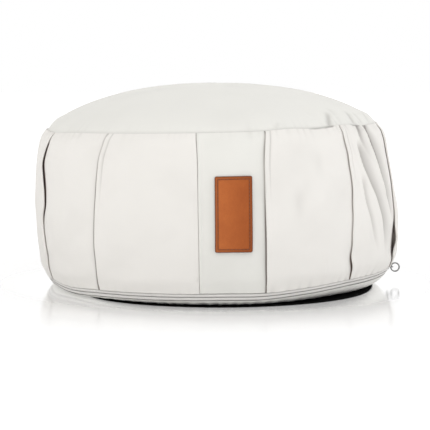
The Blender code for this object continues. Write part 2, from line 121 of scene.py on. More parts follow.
# %% Sizes
CROWN, HEAD_SEAM, FOOT_SEAM, ZIP_LINE, BASE_SEAM = 0.1934, 0.1526, 0.0128, 0.0096, 0.0062
HEAD_TILT, FOOT_TILT = 0.0034, 0.0032
FOOT_SEAM_IN, ZIP_LINE_IN, BASE_SEAM_IN = 0.0002, 0.0017, 0.0042
CONTACT_RADIUS, CONTACT_LIFT, CONTACT_LIFT_AT, CONTACT_LIFT_SPREAD = 0.1455, 0.0070, 45.0, 22.0
ZIP_END, FOOT_PUSH, FOOT_PUSH_AT, FOOT_PUSH_SPREAD, FOOT_PUSH_TO = 92.0, 0.0026, 80.0, 13.0, 0.3
CLOTH, PANEL_CLOTH, REBATE, FOLD, GAP, SEWN_GAP = 0.0020, 0.0014, 0.0018, 0.0018, 0.0004, 0.0003
DOME_SHOULDER, DOME_ROUND_POWER, DOME_SHOULDER_POWER = 0.16, 2.4, 16
BAND_TALL = HEAD_SEAM - FOOT_SEAM

Section = namedtuple("Section", "up radius lean")
SIDE = (
    Section(0.00, 0.1655, 0.0003),
    Section(0.08, 0.1702, 0.0007),
    Section(0.17, 0.1721, 0.0008),
    Section(0.26, 0.1736, 0.0006),
    Section(0.38, 0.1741, 0.0000),
    Section(0.50, 0.1730, -0.0018),
    Section(0.62, 0.1713, -0.0028),
    Section(0.74, 0.1695, -0.0040),
    Section(0.84, 0.1676, -0.0045),
    Section(0.92, 0.1656, -0.0045),
    Section(0.965, 0.1634, -0.0046),
    Section(1.00, 0.1598, -0.0052),
)
Wave = namedtuple("Wave", "azimuth rise spread")
HEAD_WAVES = (Wave(-65, -0.0014, 8), Wave(24, 0.0014, 7), Wave(46, 0.0022, 8))
FOOT_WAVES = (
    Wave(-72, 0.0014, 8), Wave(-53, -0.0012, 9), Wave(14, -0.0010, 8), Wave(47, 0.0030, 17),
    Wave(76, 0.0032, 18),
)


def side_radius(azimuth, up):
    """The band's radius before its folds: its section, its lean to the right, the zip tape's push."""
    up = np.asarray(up, float)
    heights, radii, leans = zip(*SIDE)
    push = FOOT_PUSH * hill(azimuth - FOOT_PUSH_AT, FOOT_PUSH_SPREAD) * ease(1 - up / FOOT_PUSH_TO)
    lean = through(up, heights, leans) * np.sin(np.radians(azimuth))
    return through(up, heights, radii) + lean + push


def seam_height(level, tilt, waves, azimuth):
    """A seam's height: its level, its rise to the right and its waves."""
    azimuth = wrapped(azimuth)
    ride = sum(wave.rise * hill(azimuth - wave.azimuth, wave.spread) for wave in waves)
    return level + tilt * np.sin(np.radians(azimuth)) + ride


def head_height(azimuth):
    return seam_height(HEAD_SEAM, HEAD_TILT, HEAD_WAVES, azimuth)


def foot_height(azimuth, level=FOOT_SEAM):
    return seam_height(level, FOOT_TILT, FOOT_WAVES, azimuth)


def dome_height(azimuth, share):
    """The top panel's height at a share of its radius: flat at the middle, steep at the seam."""
    fall = (1 - DOME_SHOULDER) * share**DOME_ROUND_POWER + DOME_SHOULDER * share**DOME_SHOULDER_POWER
    return CROWN - (CROWN - head_height(azimuth)) * fall


def under_radius(azimuth, share):
    """The underside's radius, from where the base leaves the floor, 0, to the base seam, 1."""
    lift = CONTACT_LIFT * hill(wrapped(azimuth) - CONTACT_LIFT_AT, CONTACT_LIFT_SPREAD)
    seam = side_radius(azimuth, 0.0) - BASE_SEAM_IN
    return (CONTACT_RADIUS - lift) * (1 - share) + seam * share


def point(azimuth, radius, z):
    """Points from azimuths in degrees, 0 at the front and growing to the right, radii and heights."""
    azimuth, radius, z = np.broadcast_arrays(np.radians(azimuth), radius, z)
    return np.stack([radius * np.sin(azimuth), -radius * np.cos(azimuth), z], axis=-1)


def band_point(azimuth, up, out):
    """A point of the band, a distance out from its section along the section's normal."""
    low, high = np.clip(up - 0.004, 0, 1), np.clip(up + 0.004, 0, 1)
    foot = foot_height(azimuth)
    tall = head_height(azimuth) - foot
    rise, run = tall * (high - low), side_radius(azimuth, high) - side_radius(azimuth, low)
    length = np.hypot(rise, run)
    z = foot + tall * up - out * from_seams(up, 0.03, 0.02) * run / length
    return point(azimuth, side_radius(azimuth, up) + out * rise / length, z)


print(f"belly {2 * side_radius(-90.0, 0.38):.3f} m across, crown at {CROWN} m")

# %% [markdown]
# ## From grids to meshes
#
# A surface here is a grid of points, rows by columns. Round pieces close on themselves, sheets are
# two faces joined at their edges, and round sheets end in a pole that is closed with a fan. Each
# point can carry numbers for the finish: the shade painted into its colour where it lies in a fold,
# a seam or a dent, how warm that painted shade is, and its place in the weave.


# %% Mesh helpers
def numbered(shape, first=0):
    """Point numbers in a grid of rows and columns."""
    return first + np.arange(shape[0] * shape[1]).reshape(shape[:2])


def grid_faces(index, around):
    """Four-cornered faces between the neighbours of a grid of point numbers."""
    right = np.roll(index, -1, axis=1) if around else index[:, 1:]
    left = index if around else index[:, :-1]
    return np.stack([left[:-1], right[:-1], right[1:], left[1:]], axis=-1).reshape(-1, 4)


def fan_faces(ring, centre):
    """Three-cornered faces from a closed ring of point numbers to its centre."""
    return np.stack([ring, np.roll(ring, -1), np.full_like(ring, centre)], axis=-1)


def add_object(name, data):
    obj = bpy.data.objects.new(name, data)
    bpy.context.scene.collection.objects.link(obj)
    return obj


def add_piece(name, points, quads, triangles=(), fields=None):
    """A smooth mesh object from points and faces, turned so that its faces point outwards."""
    points = np.asarray(points, float).reshape(-1, 3)
    corners = [np.asarray(quads, int).reshape(-1, 4), np.asarray(triangles, int).reshape(-1, 3)]
    thirds = np.concatenate([corners[0][:, [0, 1, 2]], corners[0][:, [0, 2, 3]], corners[1]])
    a, b, c = (points[thirds[:, k]] for k in range(3))
    if (a * np.cross(b, c)).sum() < 0:
        corners = [part[:, ::-1] for part in corners]
    mesh = bpy.data.meshes.new(name)
    mesh.from_pydata(points, [], corners[0].tolist() + corners[1].tolist())
    for field, values in (fields or {}).items():
        values = np.asarray(values, np.float32)
        wide = values.ndim > 1 and values.shape[-1] == 2
        kind, slot = ("FLOAT2", "vector") if wide else ("FLOAT", "value")
        mesh.attributes.new(field, kind, "POINT").data.foreach_set(slot, values.ravel())
    mesh.shade_smooth()
    print(f"{name}: {len(points)} points, {len(thirds)} triangles")
    return add_object(name, mesh)


def round_piece(name, rings, fields, closed_loop=False):
    """A closed piece from rings of points: fans close its two ends, unless the rings are a loop."""
    index = numbered(rings.shape)
    if closed_loop:
        return add_piece(name, rings, grid_faces(np.concatenate([index, index[:1]]), True), fields=fields)
    poles = rings[[0, -1]].mean(axis=1) * (0, 0, 1)
    points = np.concatenate([rings.reshape(-1, 3), poles])
    ends = [fan_faces(index[0][::-1], index.size), fan_faces(index[-1], index.size + 1)]
    filled = {
        field: np.concatenate([values.reshape(index.size, -1), values[[0, -1]].mean(axis=1).reshape(2, -1)])
        for field, values in fields.items()
    }
    return add_piece(name, points, grid_faces(index, True), np.concatenate(ends), filled)


def slab_piece(name, front, back, fields):
    """A closed sheet from its front and back grids, with one row of faces round its edge."""
    first = numbered(front.shape)
    second = first + first.size
    edge = np.concatenate([first[0], first[1:, -1], first[-1, -2::-1], first[-2:0:-1, 0]])
    after = np.roll(edge, -1)
    wall = np.stack([edge, after, after + first.size, edge + first.size], axis=-1)
    quads = np.concatenate([grid_faces(first, False), grid_faces(second, False)[:, ::-1], wall[:, ::-1]])
    doubled = {field: np.concatenate([values, values]) for field, values in fields.items()}
    return add_piece(name, np.concatenate([front, back]), quads, fields=doubled)


# %% [markdown]
# ## Knife pleats
#
# A knife pleat is a flat fold: the cloth runs in under its neighbour, turns back, and comes out
# again over it with a round edge. The tucked layers lie behind the edge, so that a narrow strip
# beside it stands up from the band; near the head seam, where it is sewn flat, the strip ends in a
# sharp little step. Nearly all pleats lie with the right-hand cloth on top. The one at the far left
# has turned over, and its mouth shows as a dark slit.
#
# Each pleat is a row of a table: its path down the band as (height, azimuth) pairs, how deep it is
# tucked, how far its mouth gapes and where, how strong its shade and its strip are, how warm its shade
# is, and how far its shade falls on the cloth beside it, in millimetres. This shade is painted shade in
# the cloth's colour: inside the fold and its mouth, on the cloth beside the fold's edge, and where the
# strip steps down; the dark slit of the far left pleat is its open mouth with painted shade in it.


# %% The pleats
Pleat = namedtuple("Pleat", "path tuck mouth widest spread shade brown strip cast")
PLEATS = (
    Pleat(
        ((0, -68.8), (0.07, -68.4), (0.20, -67.6), (0.33, -68.0), (0.43, -67.7), (0.51, -65.8),
         (0.61, -66.4),
         (0.71, -67.9), (0.79, -69.6), (0.87, -68.6), (0.92, -67.4), (0.963, -66.6), (1, -66.0)),
        -0.009, 0.0011, 0.70, 0.17,
        ((0, 0.15), (0.38, 0.2), (0.48, 1.0), (0.92, 1.0), (0.95, 0.1), (1, 0.0)), 0.9, 0.2, 0.5,
    ),
    Pleat(
        ((0, -39.2), (0.07, -38.8), (0.33, -38.5), (0.49, -38.2), (0.74, -37.8), (0.855, -37.5),
         (0.917, -36.8),
         (0.973, -36.2), (1, -35.8)),
        0.008, 0.0004, 0.60, 0.30, ((0, 0.9), (0.7, 0.9), (0.85, 0.55), (1, 0.35)), 0.3, 1.0, 2.2,
    ),
    Pleat(
        ((0, 15.0), (0.15, 14.5), (0.35, 14.2), (0.66, 14.2), (0.89, 14.5), (1, 15.2)),
        0.008, 0.0003, 0.30, 0.25, ((0, 0.9), (0.45, 0.9), (0.62, 0.55), (1, 0.5)), 0.5, 1.0, 0.5,
    ),
    Pleat(
        ((0, 46.2), (0.06, 45.4), (0.155, 44.1), (0.23, 44.2), (0.32, 44.0), (0.46, 44.8), (0.63, 45.8),
         (0.76, 45.2),
         (0.83, 45.0), (0.915, 44.1), (1, 44.4)),
        0.009, 0.0010, 0.09, 0.07,
        ((0, 1.0), (0.14, 1.0), (0.22, 0.50), (0.6, 0.45), (0.75, 0.3), (1, 0.12)), 0.8, 0.8, 0.3,
    ),
    Pleat(
        ((0, 76.6), (0.06, 75.0), (0.103, 72.4), (0.173, 70.8), (0.265, 70.8), (0.335, 72.7), (0.417, 75.0),
         (0.522, 77.8), (0.633, 79.4), (0.743, 79.4), (0.835, 78.6), (0.92, 77.9), (1, 78.2)),
        0.011, 0.0036, 0.215, 0.085,
        ((0, 0.8), (0.12, 0.7), (0.2, 0.35), (0.34, 0.35), (0.42, 0.2), (1, 0.25)), 0.9, 0.2, 0.4,
    ),
)
BACK_CAST, BACK_HEIGHTS = 0.8, (0, 0.4, 0.75, 1)
BACK_PLEATS = (  # azimuths up the path, tuck, mouth, widest, spread, shade at foot and head, brown, strip
    ((104.0, 106.0, 107.5, 108.0), 0.009, 0.0012, 0.45, 0.25, (0.9, 0.6), 0.5, 0.5),
    ((134.5, 134.0, 135.0, 136.0), 0.008, 0.0006, 0.50, 0.30, (0.8, 0.5), 0.4, 0.7),
    ((166.0, 164.5, 164.8, 166.0), 0.009, 0.0014, 0.25, 0.18, (0.9, 0.5), 0.5, 0.6),
    ((196.5, 197.5, 197.0, 195.5), 0.008, 0.0005, 0.60, 0.30, (0.8, 0.5), 0.3, 0.8),
    ((228.5, 227.5, 228.0, 229.5), 0.009, 0.0009, 0.50, 0.25, (0.9, 0.5), 0.4, 0.6),
    ((259.0, 261.5, 261.0, 260.0), 0.008, 0.0013, 0.65, 0.25, (0.9, 0.5), 0.5, 0.7),
)
PLEATS += tuple(
    Pleat(tuple(zip(BACK_HEIGHTS, path)), *folded, tuple(zip((0, 1), shade)), brown, strip, BACK_CAST)
    for path, *folded, shade, brown, strip in BACK_PLEATS
)
PANEL_SEAM = Pleat(
    ((0, -5.2), (0.285, -5.2), (0.59, -5.5), (0.90, -6.0), (1, -6.5)),
    0, 0, 0.5, 0.5, ((0, 0.12), (0.7, 0.15), (1, 0.4)), 0.2, 0, 0
)
PANEL_BEFORE, PANEL_AFTER = 2, 1  # the panel runs from its seam to under pleat 2; pleat 1 is before it
DROP, SWELL, LOOSE_MOUTH, STEP = 0.0009, 0.0010, 0.0001, 0.00015
NEAR_FOLD, SWELL_ENDS, PLAIN_BROWN = 0.007, (0.1, 0.08), 0.15


def crossing(pleat, up):
    """The azimuth at which a line down the band crosses a height."""
    heights, azimuths = zip(*pleat.path)
    return through(up, heights, azimuths)


def loosened(up):
    """How freely a fold hangs: 0 at both seams, 1 away from them."""
    return from_seams(up, 0.12, 0.12)


def unpressed(up):
    """0 where a fold is sewn flat at a seam, 1 from just beyond it."""
    return from_seams(up, 0.05, 0.035)


def tuck_reach(pleat, up):
    return abs(pleat.tuck) * (0.35 + 0.65 * loosened(up))


def strip_sharpness(pleat, up):
    """How sharply the strip beside a fold ends: most near the head seam, not at all low down."""
    return pleat.strip * ease((up - 0.45) / 0.45)


def fold_profile(pleat, up, recess):
    """Columns across one pleat, left to right: azimuth, distance out, shade, brown.

    The S of a knife pleat: down and in under the fold, a turn at the tuck's end, back out, round
    the fold's edge, and on to the right on top. At the seams its layers are pressed into steps.
    A tuck of less than 0 mirrors the whole.
    """
    loose = loosened(up)
    gape = pleat.mouth * hill(up - pleat.widest, pleat.spread)
    mouth = SEWN_GAP + (LOOSE_MOUTH + gape) * loose
    drop = DROP * (0.3 + 0.7 * loose)
    fold = FOLD * (0.55 + 0.45 * loose)
    tuck, end = tuck_reach(pleat, up), np.maximum(SEWN_GAP, 0.4 * mouth)
    lip = mouth - drop
    top = lip + fold
    sharp = strip_sharpness(pleat, up)
    dark = np.clip(through(up, *zip(*pleat.shade)), 0, 1)
    cast = pleat.cast * MM
    rows = (  # along, flat along, out, painted shade
        (-NEAR_FOLD, -NEAR_FOLD, -0.45 * drop - recess, 0.01 * dark),
        (-cast - 0.0026, -cast - 0.0026, -0.78 * drop - recess, 0.05 * dark),
        (-cast - 0.0009, -cast - 0.0009, -0.97 * drop - recess, 0.20 * dark),
        (-cast, -cast, -drop - recess, 0.85 * dark),
        (0.35 * tuck, -2 * STEP, -drop - recess, 0.3 + 0.7 * dark),
        (tuck, -STEP, -drop + 0.1 * MM - recess, 0.5 + 0.5 * dark),
        (tuck, 0.0, -drop + end, 0.5 + 0.5 * dark),
        (0.35 * tuck, STEP, -drop + end + 0.6 * (mouth - end), 0.4 + 0.6 * dark),
        (0.8 * fold, 2 * STEP, lip, 0.1 + 0.8 * dark),
        (0.15 * fold, 3 * STEP, lip + 0.2 * fold, 0.35 * dark),
        (0.0, 4 * STEP, lip + 0.5 * fold, 0.06 * dark),
        (0.2 * fold, 5 * STEP, lip + 0.85 * fold, 0.0),
        (0.8 * fold, 0.8 * fold, top, 0.0),
        (0.0028, 0.0028, (0.95 + 0.03 * sharp) * top, 0.02 * sharp),
        (0.0041, 0.0041, (0.88 - 0.40 * sharp) * top, 0.16 * sharp),
        (0.0049, 0.0049, (0.84 - 0.74 * sharp) * top, 0.34 * sharp),
        (0.0055, 0.0055, (0.80 - 0.70 * sharp) * top, 0.10 * sharp),
        (NEAR_FOLD, NEAR_FOLD, (0.75 - 0.60 * sharp) * top, 0.0),
    )
    centre, opened = crossing(pleat, up), unpressed(up)
    way = 1 if pleat.tuck > 0 else -1
    degrees = way * np.degrees(1 / side_radius(centre, up))
    return [
        (centre + (along * opened + flat * (1 - opened)) * degrees, out, shade, pleat.brown)
        for along, flat, out, shade in rows
    ][::way]


def plain_columns(left, right, count, up, recess):
    """Columns between two lines: what a fold lifts dies away, and the filling swells the cloth."""
    near = np.degrees(NEAR_FOLD / side_radius(crossing(left, up), up))
    start = crossing(left, up) + (near if left.tuck else 0.0)
    stop = crossing(right, up) - (near if right.tuck else 0.0)
    full = SWELL * from_seams(up, *SWELL_ENDS)
    columns = []
    for share in np.arange(1, count + 1) / (count + 1):
        lift = (1 - share) ** 3 * (left.tuck > 0) * (0.75 - 0.60 * strip_sharpness(left, up))
        lift = lift + share**3 * (right.tuck < 0) * 0.75
        out = lift * (FOLD - DROP) + full * np.sin(np.pi * share) - recess
        columns.append((start + (stop - start) * share, out, 0.0, min(left.brown, PLAIN_BROWN)))
    return columns


# %% [markdown]
# ## Creases, dents and puckers
#
# Behind the fourth pleat the cloth is pulled towards the end of the zip and hangs in slanted folds.
# Each one rises slowly from the left to a round crest, drops steeply behind it, and comes up again
# slowly, so that from the front a sharp edge is seen with a soft shade at its right, partly cast by the
# form and partly painted into the cloth's colour. Elsewhere the filling leaves shallow dents, and the
# thread draws the cloth into small ripples along the seams; where these lie deeper, shade is painted
# into the cloth too.


# %% Creases
Crease = namedtuple("Crease", "path depth edge soft crest shade line fade")  # lengths in millimetres; shade and line are painted shade: over the trough, and as a dark line where it comes out from behind the crest
CREASES = (
    Crease(((0.74, 59.0), (0.80, 57.2), (0.848, 55.6), (0.905, 53.3), (0.945, 52.8), (1.0, 53.9)),
           3.0, 1.1, 4.5, 0.9, 0.50, 0.26, 5.5),
    Crease(
        ((0.10, 64.3), (0.24, 62.4), (0.34, 60.9), (0.44, 59.6), (0.53, 58.1), (0.64, 55.4),
         (0.755, 52.7), (0.868, 51.2), (0.92, 50.9)),
        3.8, 1.6, 7.0, 1.2, 0.42, 0.13, 11.0,
    ),
    Crease(((0.12, 59.6), (0.25, 55.6), (0.42, 52.6), (0.50, 51.7), (0.60, 51.2), (0.70, 51.0)),
           2.0, 1.2, 4.5, 0.9, 0.30, 0.05, 4.5),
    Crease(
        ((0.30, 70.0), (0.45, 68.3), (0.565, 66.2), (0.655, 64.5), (0.748, 63.0),
         (0.828, 61.3), (0.905, 59.2), (0.97, 58.8), (1.0, 60.0)),
        4.4, 1.2, 8.0, 1.4, 0.46, 0.40, 13.0,
    ),
    Crease(((0.78, 48.4), (0.86, 47.4), (0.93, 46.6)), 0.5, 0.6, 1.6, 0.2, 0.12, 0.12, 1.5),
    Crease(((0.02, 35.2), (0.08, 34.6), (0.23, 33.2)), 0.5, 1.4, 2.5, 0.2, 0.06, 0.0, 2.0),
)
Dent = namedtuple("Dent", "azimuth up wide high depth")
DENTS = (
    Dent(25.0, 0.580, 7.0, 9.0, 0.50),
    Dent(32.5, 0.775, 6.0, 11.0, 0.45),
    Dent(24.5, 0.515, 6.0, 13.0, 0.60),
    Dent(27.5, 0.652, 8.0, 10.0, 0.35),
    Dent(-5.6, 0.095, 1.6, 3.0, 0.80),
)
PUCKER_REGIONS = ((45.0, 22.0, 1.1), (-60.0, 14.0, 0.5), (20.0, 12.0, 0.4), (150.0, 60.0, 0.4))
CREST_LEAD, CREST_ROUND, HIDDEN_BEHIND, LINE_WIDTH = 1.7, 1.8, 1.3, 1.7
LONG_SHADE, WIDE_SHADE = 4, 6  # a crease with a wider shade fades in slowly, and narrows at its upper end
SHADE_MOST = 0.85


def creased(azimuth, up):
    """How far creases and dents push the cloth out, and how deep in shade they lie: for each crease a
    crest to the left of its line, a steep drop at the line, and a slow way back at its right, dark as
    far as the crest hides the light and a little farther."""
    width = side_radius(azimuth, up) / MM * np.pi / 180
    total, dark = np.zeros_like(azimuth), np.zeros_like(azimuth)
    held = 0.35 + 0.65 * ease((1 - up) / 0.05)
    for c in CREASES:
        heights, azimuths = zip(*c.path)
        first, last = heights[0], heights[-1]
        line = through(np.clip(up, first, last), heights, azimuths)
        aside = (azimuth - line) * width + CREST_LEAD * c.crest
        ends = ease((up - first) / (0.30 if c.fade > LONG_SHADE else 0.18))
        ends = ends * (1.0 if last == 1.0 else ease((last - up) / 0.10))
        begun, past = ease(aside / (2 * c.edge) + 0.5), aside - HIDDEN_BEHIND * c.depth
        fall = c.depth * begun * np.exp(-np.maximum(aside, 0) / c.soft)
        crest = c.crest * hill(aside + CREST_ROUND * c.edge, CREST_ROUND * c.edge + 0.8)
        wide = c.fade * (1 - 0.5 * (c.fade > WIDE_SHADE) * ease(1 - (last - up) / 0.15))
        total += ends * held * (crest - fall)
        dark += ends * begun * (c.shade * hill(np.maximum(past, 0), wide) + c.line * hill(past, LINE_WIDTH))
    for d in DENTS:
        across, above = (azimuth - d.azimuth) * width, (up - d.up) * BAND_TALL / MM
        total -= d.depth * hill(across, d.wide) * hill(above, d.high)
        dark += 0.16 * d.depth * hill(across, 0.8 * d.wide) * hill(above, 0.8 * d.high)
    return total * MM, np.clip(dark, 0, SHADE_MOST)


PUCKER, PUCKER_REACH = 0.50, 4  # mm


def puckers(azimuth, below, pitch, seed):
    """Small ripples along a seam that die away a few millimetres from it."""
    turns = azimuth / 360
    count = round(2 * np.pi * 165 / pitch)
    region = 0.3 + sum(weight * hill(wrapped(azimuth) - at, spread) for at, spread, weight in PUCKER_REGIONS)
    phase = 3.2 * wander(turns, 0, seed, 6, 30)
    some = 0.25 + 0.75 * np.clip(0.5 + 0.7 * wander(turns, 0, seed + 50, 6, 44), 0, 1.4)
    ripple = np.cos(2 * np.pi * count * turns + phase)
    return PUCKER * MM * region * some * ripple * np.exp(-below / (PUCKER_REACH * MM))


# painted shade: the deeper a dent, wave or ripple lies, the darker its colour is painted
def hollow_shade(push, strength):
    """Shade for the parts that lie deeper than the rest."""
    return strength * np.clip(-push / MM, 0, 0.8)


def uneven(azimuth, up):
    """The band's own unevenness and its shade: slow waves from the filling, finer ones in the cloth."""
    turns = azimuth / 360
    slow = 0.34 * wander(turns, up, 3, 14, 16) + 0.07 * wander(turns, up, 4, 24, 60)
    slow = slow * MM * from_seams(up, *SWELL_ENDS)
    seams = puckers(azimuth, (1 - up) * BAND_TALL, 9.0, 11) + puckers(azimuth, up * BAND_TALL, 11.0, 12)
    return slow + seams, hollow_shade(slow, 0.10) + hollow_shade(seams, 0.40)


SEAM_SHADES = (  # azimuth and how strong the shade painted along the head seam's groove is there
    (-180, 0.7), (-90, 0.5), (-80, 0.2), (-66, 0.3), (-56, 0.7), (-30, 0.8), (20, 1.0), (31, 1.2),
    (33.5, 2.0), (37, 1.7), (41, 2.3), (43, 0.5), (51, 0.5), (52.5, 2.4), (56, 2.4), (57.5, 0.6),
    (66, 0.8), (90, 0.6), (180, 0.7),
)


# painted shade: the head seam's groove is drawn as a thin dark line in the colour of its rolled rings
def seam_shade(azimuth, dark):
    """The shade of a ring of the head seam: its own, stronger or weaker along the seam."""
    return np.clip(dark * np.interp(wrapped(azimuth), *zip(*SEAM_SHADES)), 0, 1)


# painted shade on the cloth beside the seam where it gapes
def beside_seam(azimuth, away):
    """Shade on the cloth beside the head seam, only where the seam gapes a little."""
    gaping = np.clip(np.interp(wrapped(azimuth), *zip(*SEAM_SHADES)) - 1.2, 0, 1)
    return 0.85 * gaping * hill(away, 0.42 * MM)


# %% [markdown]
# ## The pleated band
#
# Band and filling are one closed form. For each row of heights the columns above are the corners of
# a curve, and finer columns are read from it: close together at the front and round the folds, wider
# apart at the back. The first and last rows roll in to the seams, and plain rings close the form
# under the top and base panels.

# %% Columns and rows of the band
FRONT_STEP, BACK_STEP = 1.25 * MM, 3.0 * MM
FRONT = (-95.0, 108.0)
BAND_ROWS = 108
CORNER_IN, CORNER_AT, CORNER_SPREAD, CORNER_FROM = 1.4 * MM, 82, 16, 0.87


def band_rows(count):
    """Heights from 0 to 1, closer together near both seams: a line and a half turn of a cosine, mixed."""
    t = np.linspace(0, 1, count)
    return 0.72 * t + 0.28 * (1 - np.cos(np.pi * t)) / 2


def finer(columns, up):
    """Fine columns read from the curve through the given ones: azimuth, out in mm, shade, brown."""
    values = np.array([np.broadcast_arrays(a, out / MM, dark, tone) for a, out, dark, tone in columns])
    middle = values[:, :2, len(up) // 2] * (side_radius(0.0, 0.5) / MM * np.pi / 180, 1.0)
    lengths = np.hypot(*np.diff(middle, axis=0).T)
    knots = np.concatenate([[0.0], np.cumsum(np.sqrt(lengths))])
    seen = (values[:-1, 0, 0] > FRONT[0]) & (values[:-1, 0, 0] < FRONT[1])
    steps, least = np.where(seen, FRONT_STEP, BACK_STEP), np.where(seen, 3, 2)
    counts = np.maximum(np.ceil(lengths * MM / steps), least).astype(int)
    at = np.concatenate([a + (b - a) * np.arange(n) / n for a, b, n in zip(knots, knots[1:], counts)])
    return np.moveaxis(through(at, knots, values), 1, 0).transpose(0, 2, 1)


def all_columns(up):
    """Every column of the band once round, from the first pleat to the first pleat again."""
    columns, recess = [], PANEL_CLOTH + GAP
    again = PLEATS[0]._replace(path=tuple((high, azimuth + 360) for high, azimuth in PLEATS[0].path))
    for index, (pleat, following) in enumerate(zip(PLEATS, (*PLEATS[1:], again))):
        columns += fold_profile(pleat, up, recess if index == PANEL_BEFORE else 0.0)
        if index != PANEL_AFTER:
            columns += plain_columns(pleat, following, 5, up, 0.0)
            continue
        seam, dark, tone = crossing(PANEL_SEAM, up), through(up, *zip(*PANEL_SEAM.shade)), PANEL_SEAM.brown
        half, rim = (np.degrees(width / side_radius(seam, up)) for width in (STEP, 1.1 * MM))
        columns += plain_columns(pleat, PANEL_SEAM, 5, up, 0.0)
        columns.append((seam - rim, 0.05 * MM, 0.0, tone))
        columns.append((seam - half, -0.40 * MM, dark, tone))
        columns.append((seam + half, -recess, 0.3 + dark, tone))
        columns += plain_columns(PANEL_SEAM, following, 3, up, recess)
    first = columns[0]
    return columns + [(first[0] + 360, *first[1:])]


up = band_rows(BAND_ROWS)
azimuth, out, shade, brown = finer(all_columns(up), up)
out, shade = out * MM, np.clip(shade, 0, 1)
row_up = up[:, None] + 0 * azimuth
(sunk, in_shade), (waves, wave_shade) = creased(azimuth, row_up), uneven(azimuth, row_up)
out = out + (sunk + waves) * (1 - shade)
corner = hill(azimuth - CORNER_AT, CORNER_SPREAD) * ease((row_up - CORNER_FROM) / (1 - CORNER_FROM))
out = out - CORNER_IN * corner  # the corner at the right is soft
by_seam = beside_seam(azimuth, (1 - row_up) * BAND_TALL)
shade = np.maximum(shade, np.clip(in_shade + wave_shade + by_seam, 0, SHADE_MOST))
band = band_point(azimuth, row_up, out)
print(f"band: {band.shape[0]} rows of {band.shape[1]} columns")

# %% The band's rolled edges and the closed filled form
Bend = namedtuple("Bend", "out high inward upward")
UNDER_BENDS = (Bend(0.0, 0.0, 0.25, 1.0), Bend(0.46, 0.30, 0.25, 1.0), Bend(0.76, 0.60, 0.75, 0.75))
ROLL = ((0.25, 0.22, 0.08), (0.75, 0.26, 0.30), (1.40, 0.05, 0.65), (1.8, -0.9, 1.0))  # in, up in mm, shade
INNER_SHARES = (1.0, 0.965, 0.90, 0.78, 0.60, 0.38, 0.15)  # of the radius, under the top panel


def underside(azimuth, inset):
    """Rings of the underside from the flat middle to its last bend, an inset inside its face."""
    seam = foot_height(azimuth, BASE_SEAM) - SEWN_GAP
    rings = [point(azimuth, 0.5 * under_radius(azimuth, 0.0), inset)]
    for bend in UNDER_BENDS:
        radius = under_radius(azimuth, bend.out) - bend.inward * inset
        rings.append(point(azimuth, radius, bend.high * seam + bend.upward * inset))
    return rings


foot, head = azimuth[0], azimuth[-1]
foot_radius, head_radius = (np.hypot(*band[row, :, :2].T) for row in (0, -1))
wall = CLOTH + GAP
bottom = underside(foot, wall + GAP / 2) + [
    point(foot, under_radius(foot, 1.0) - wall - GAP, foot_height(foot, BASE_SEAM)),
    point(foot, side_radius(foot, 0.0) - FOOT_SEAM_IN - wall, foot_height(foot) + 0.2 * MM),
    point(foot, foot_radius - 1.6 * MM, foot_height(foot) + 0.1 * MM),
    point(foot, foot_radius - 0.6 * MM, foot_height(foot) + 0.02 * MM),
]
edge = [point(head, head_radius - inn * MM, head_height(head) + high * MM) for inn, high, _ in ROLL]
rebate = side_radius(head, 1.0) - REBATE
crown = [point(head, rebate, dome_height(head, 1.0) - CLOTH - 2 * GAP)]
for share in INNER_SHARES[1:]:
    crown.append(point(head, share * (rebate - GAP), dome_height(head, share) - CLOTH - 1.75 * GAP))
rings = np.concatenate([bottom, band, edge, crown])
# painted shade: the rings hidden under the base and the top panel are painted fully shaded, the last one
# under the base 0.7, and the rolled rings take the seam's painted shade
under, over = np.outer([1] * (len(bottom) - 1) + [0.7], np.ones_like(foot)), np.ones((len(crown), len(foot)))
shades = np.concatenate([under, shade, [seam_shade(head, dark) for *_, dark in ROLL], over])
browns = np.concatenate([0 * under + 0.4 * brown[0], brown, np.zeros((len(edge) + len(crown), len(foot)))])
steps = np.diff(band, axis=1, append=band[:, :1])[..., :2]
along = np.cumsum(np.hypot(*np.moveaxis(steps, -1, 0)), axis=1).mean(axis=0)
weave = np.stack([np.tile(along, (len(rings), 1)), rings[..., 2]], axis=-1)
pleated_band = round_piece("pleated_band", rings, {"shade": shades, "brown": browns, "weave": weave})

# %% [markdown]
# ## The domed top
#
# The top panel is one round sheet, pushed up by the filling. Its rim rolls down into the head seam
# beside the band's own rolled edge, so that the seam lies in a thin groove, which a shade painted along
# it draws as a thin dark line. Near the seam on the right the cloth is a little too long and lies in
# soft folds, with painted shade in them.

# %% Top panel
TopFold = namedtuple("TopFold", "azimuth share end_azimuth end_share depth width shade")
TOP_FOLDS = (
    TopFold(46.5, 0.890, 40.5, 1.000, 1.4, 2.6, 0.34),
    TopFold(61.0, 0.880, 55.0, 0.993, 1.3, 2.2, 0.26),
    TopFold(33.0, 0.880, 35.0, 0.950, -0.6, 2.8, 0.0),
    TopFold(21.5, 0.955, 19.5, 0.990, 0.6, 2.0, 0.12),
    TopFold(64.5, 0.900, 61.5, 0.993, 0.9, 2.0, 0.18),
    TopFold(75.0, 0.920, 69.0, 0.990, 1.0, 2.4, 0.16),
    TopFold(50.0, 0.840, 47.5, 0.970, 0.6, 4.0, 0.08),
)
TOP_ROLL = ((-0.75, 0.62, 0.14), (-0.25, 0.25, 0.40), (0.0, -0.1, 0.65), (-0.5, -0.7, 1.0), (-0.9, -1.5, 1.0))


TOP_COLUMNS, TOP_RADIUS = 420, 158  # mm
SHOULDER_RISE, SHOULDERS_AT, SHOULDER_SPREAD = 1.6, (80, 280), 22  # the filling stands high at both sides


def on_disc(azimuth, share):
    return share * np.sin(np.radians(azimuth)), share * np.cos(np.radians(azimuth))


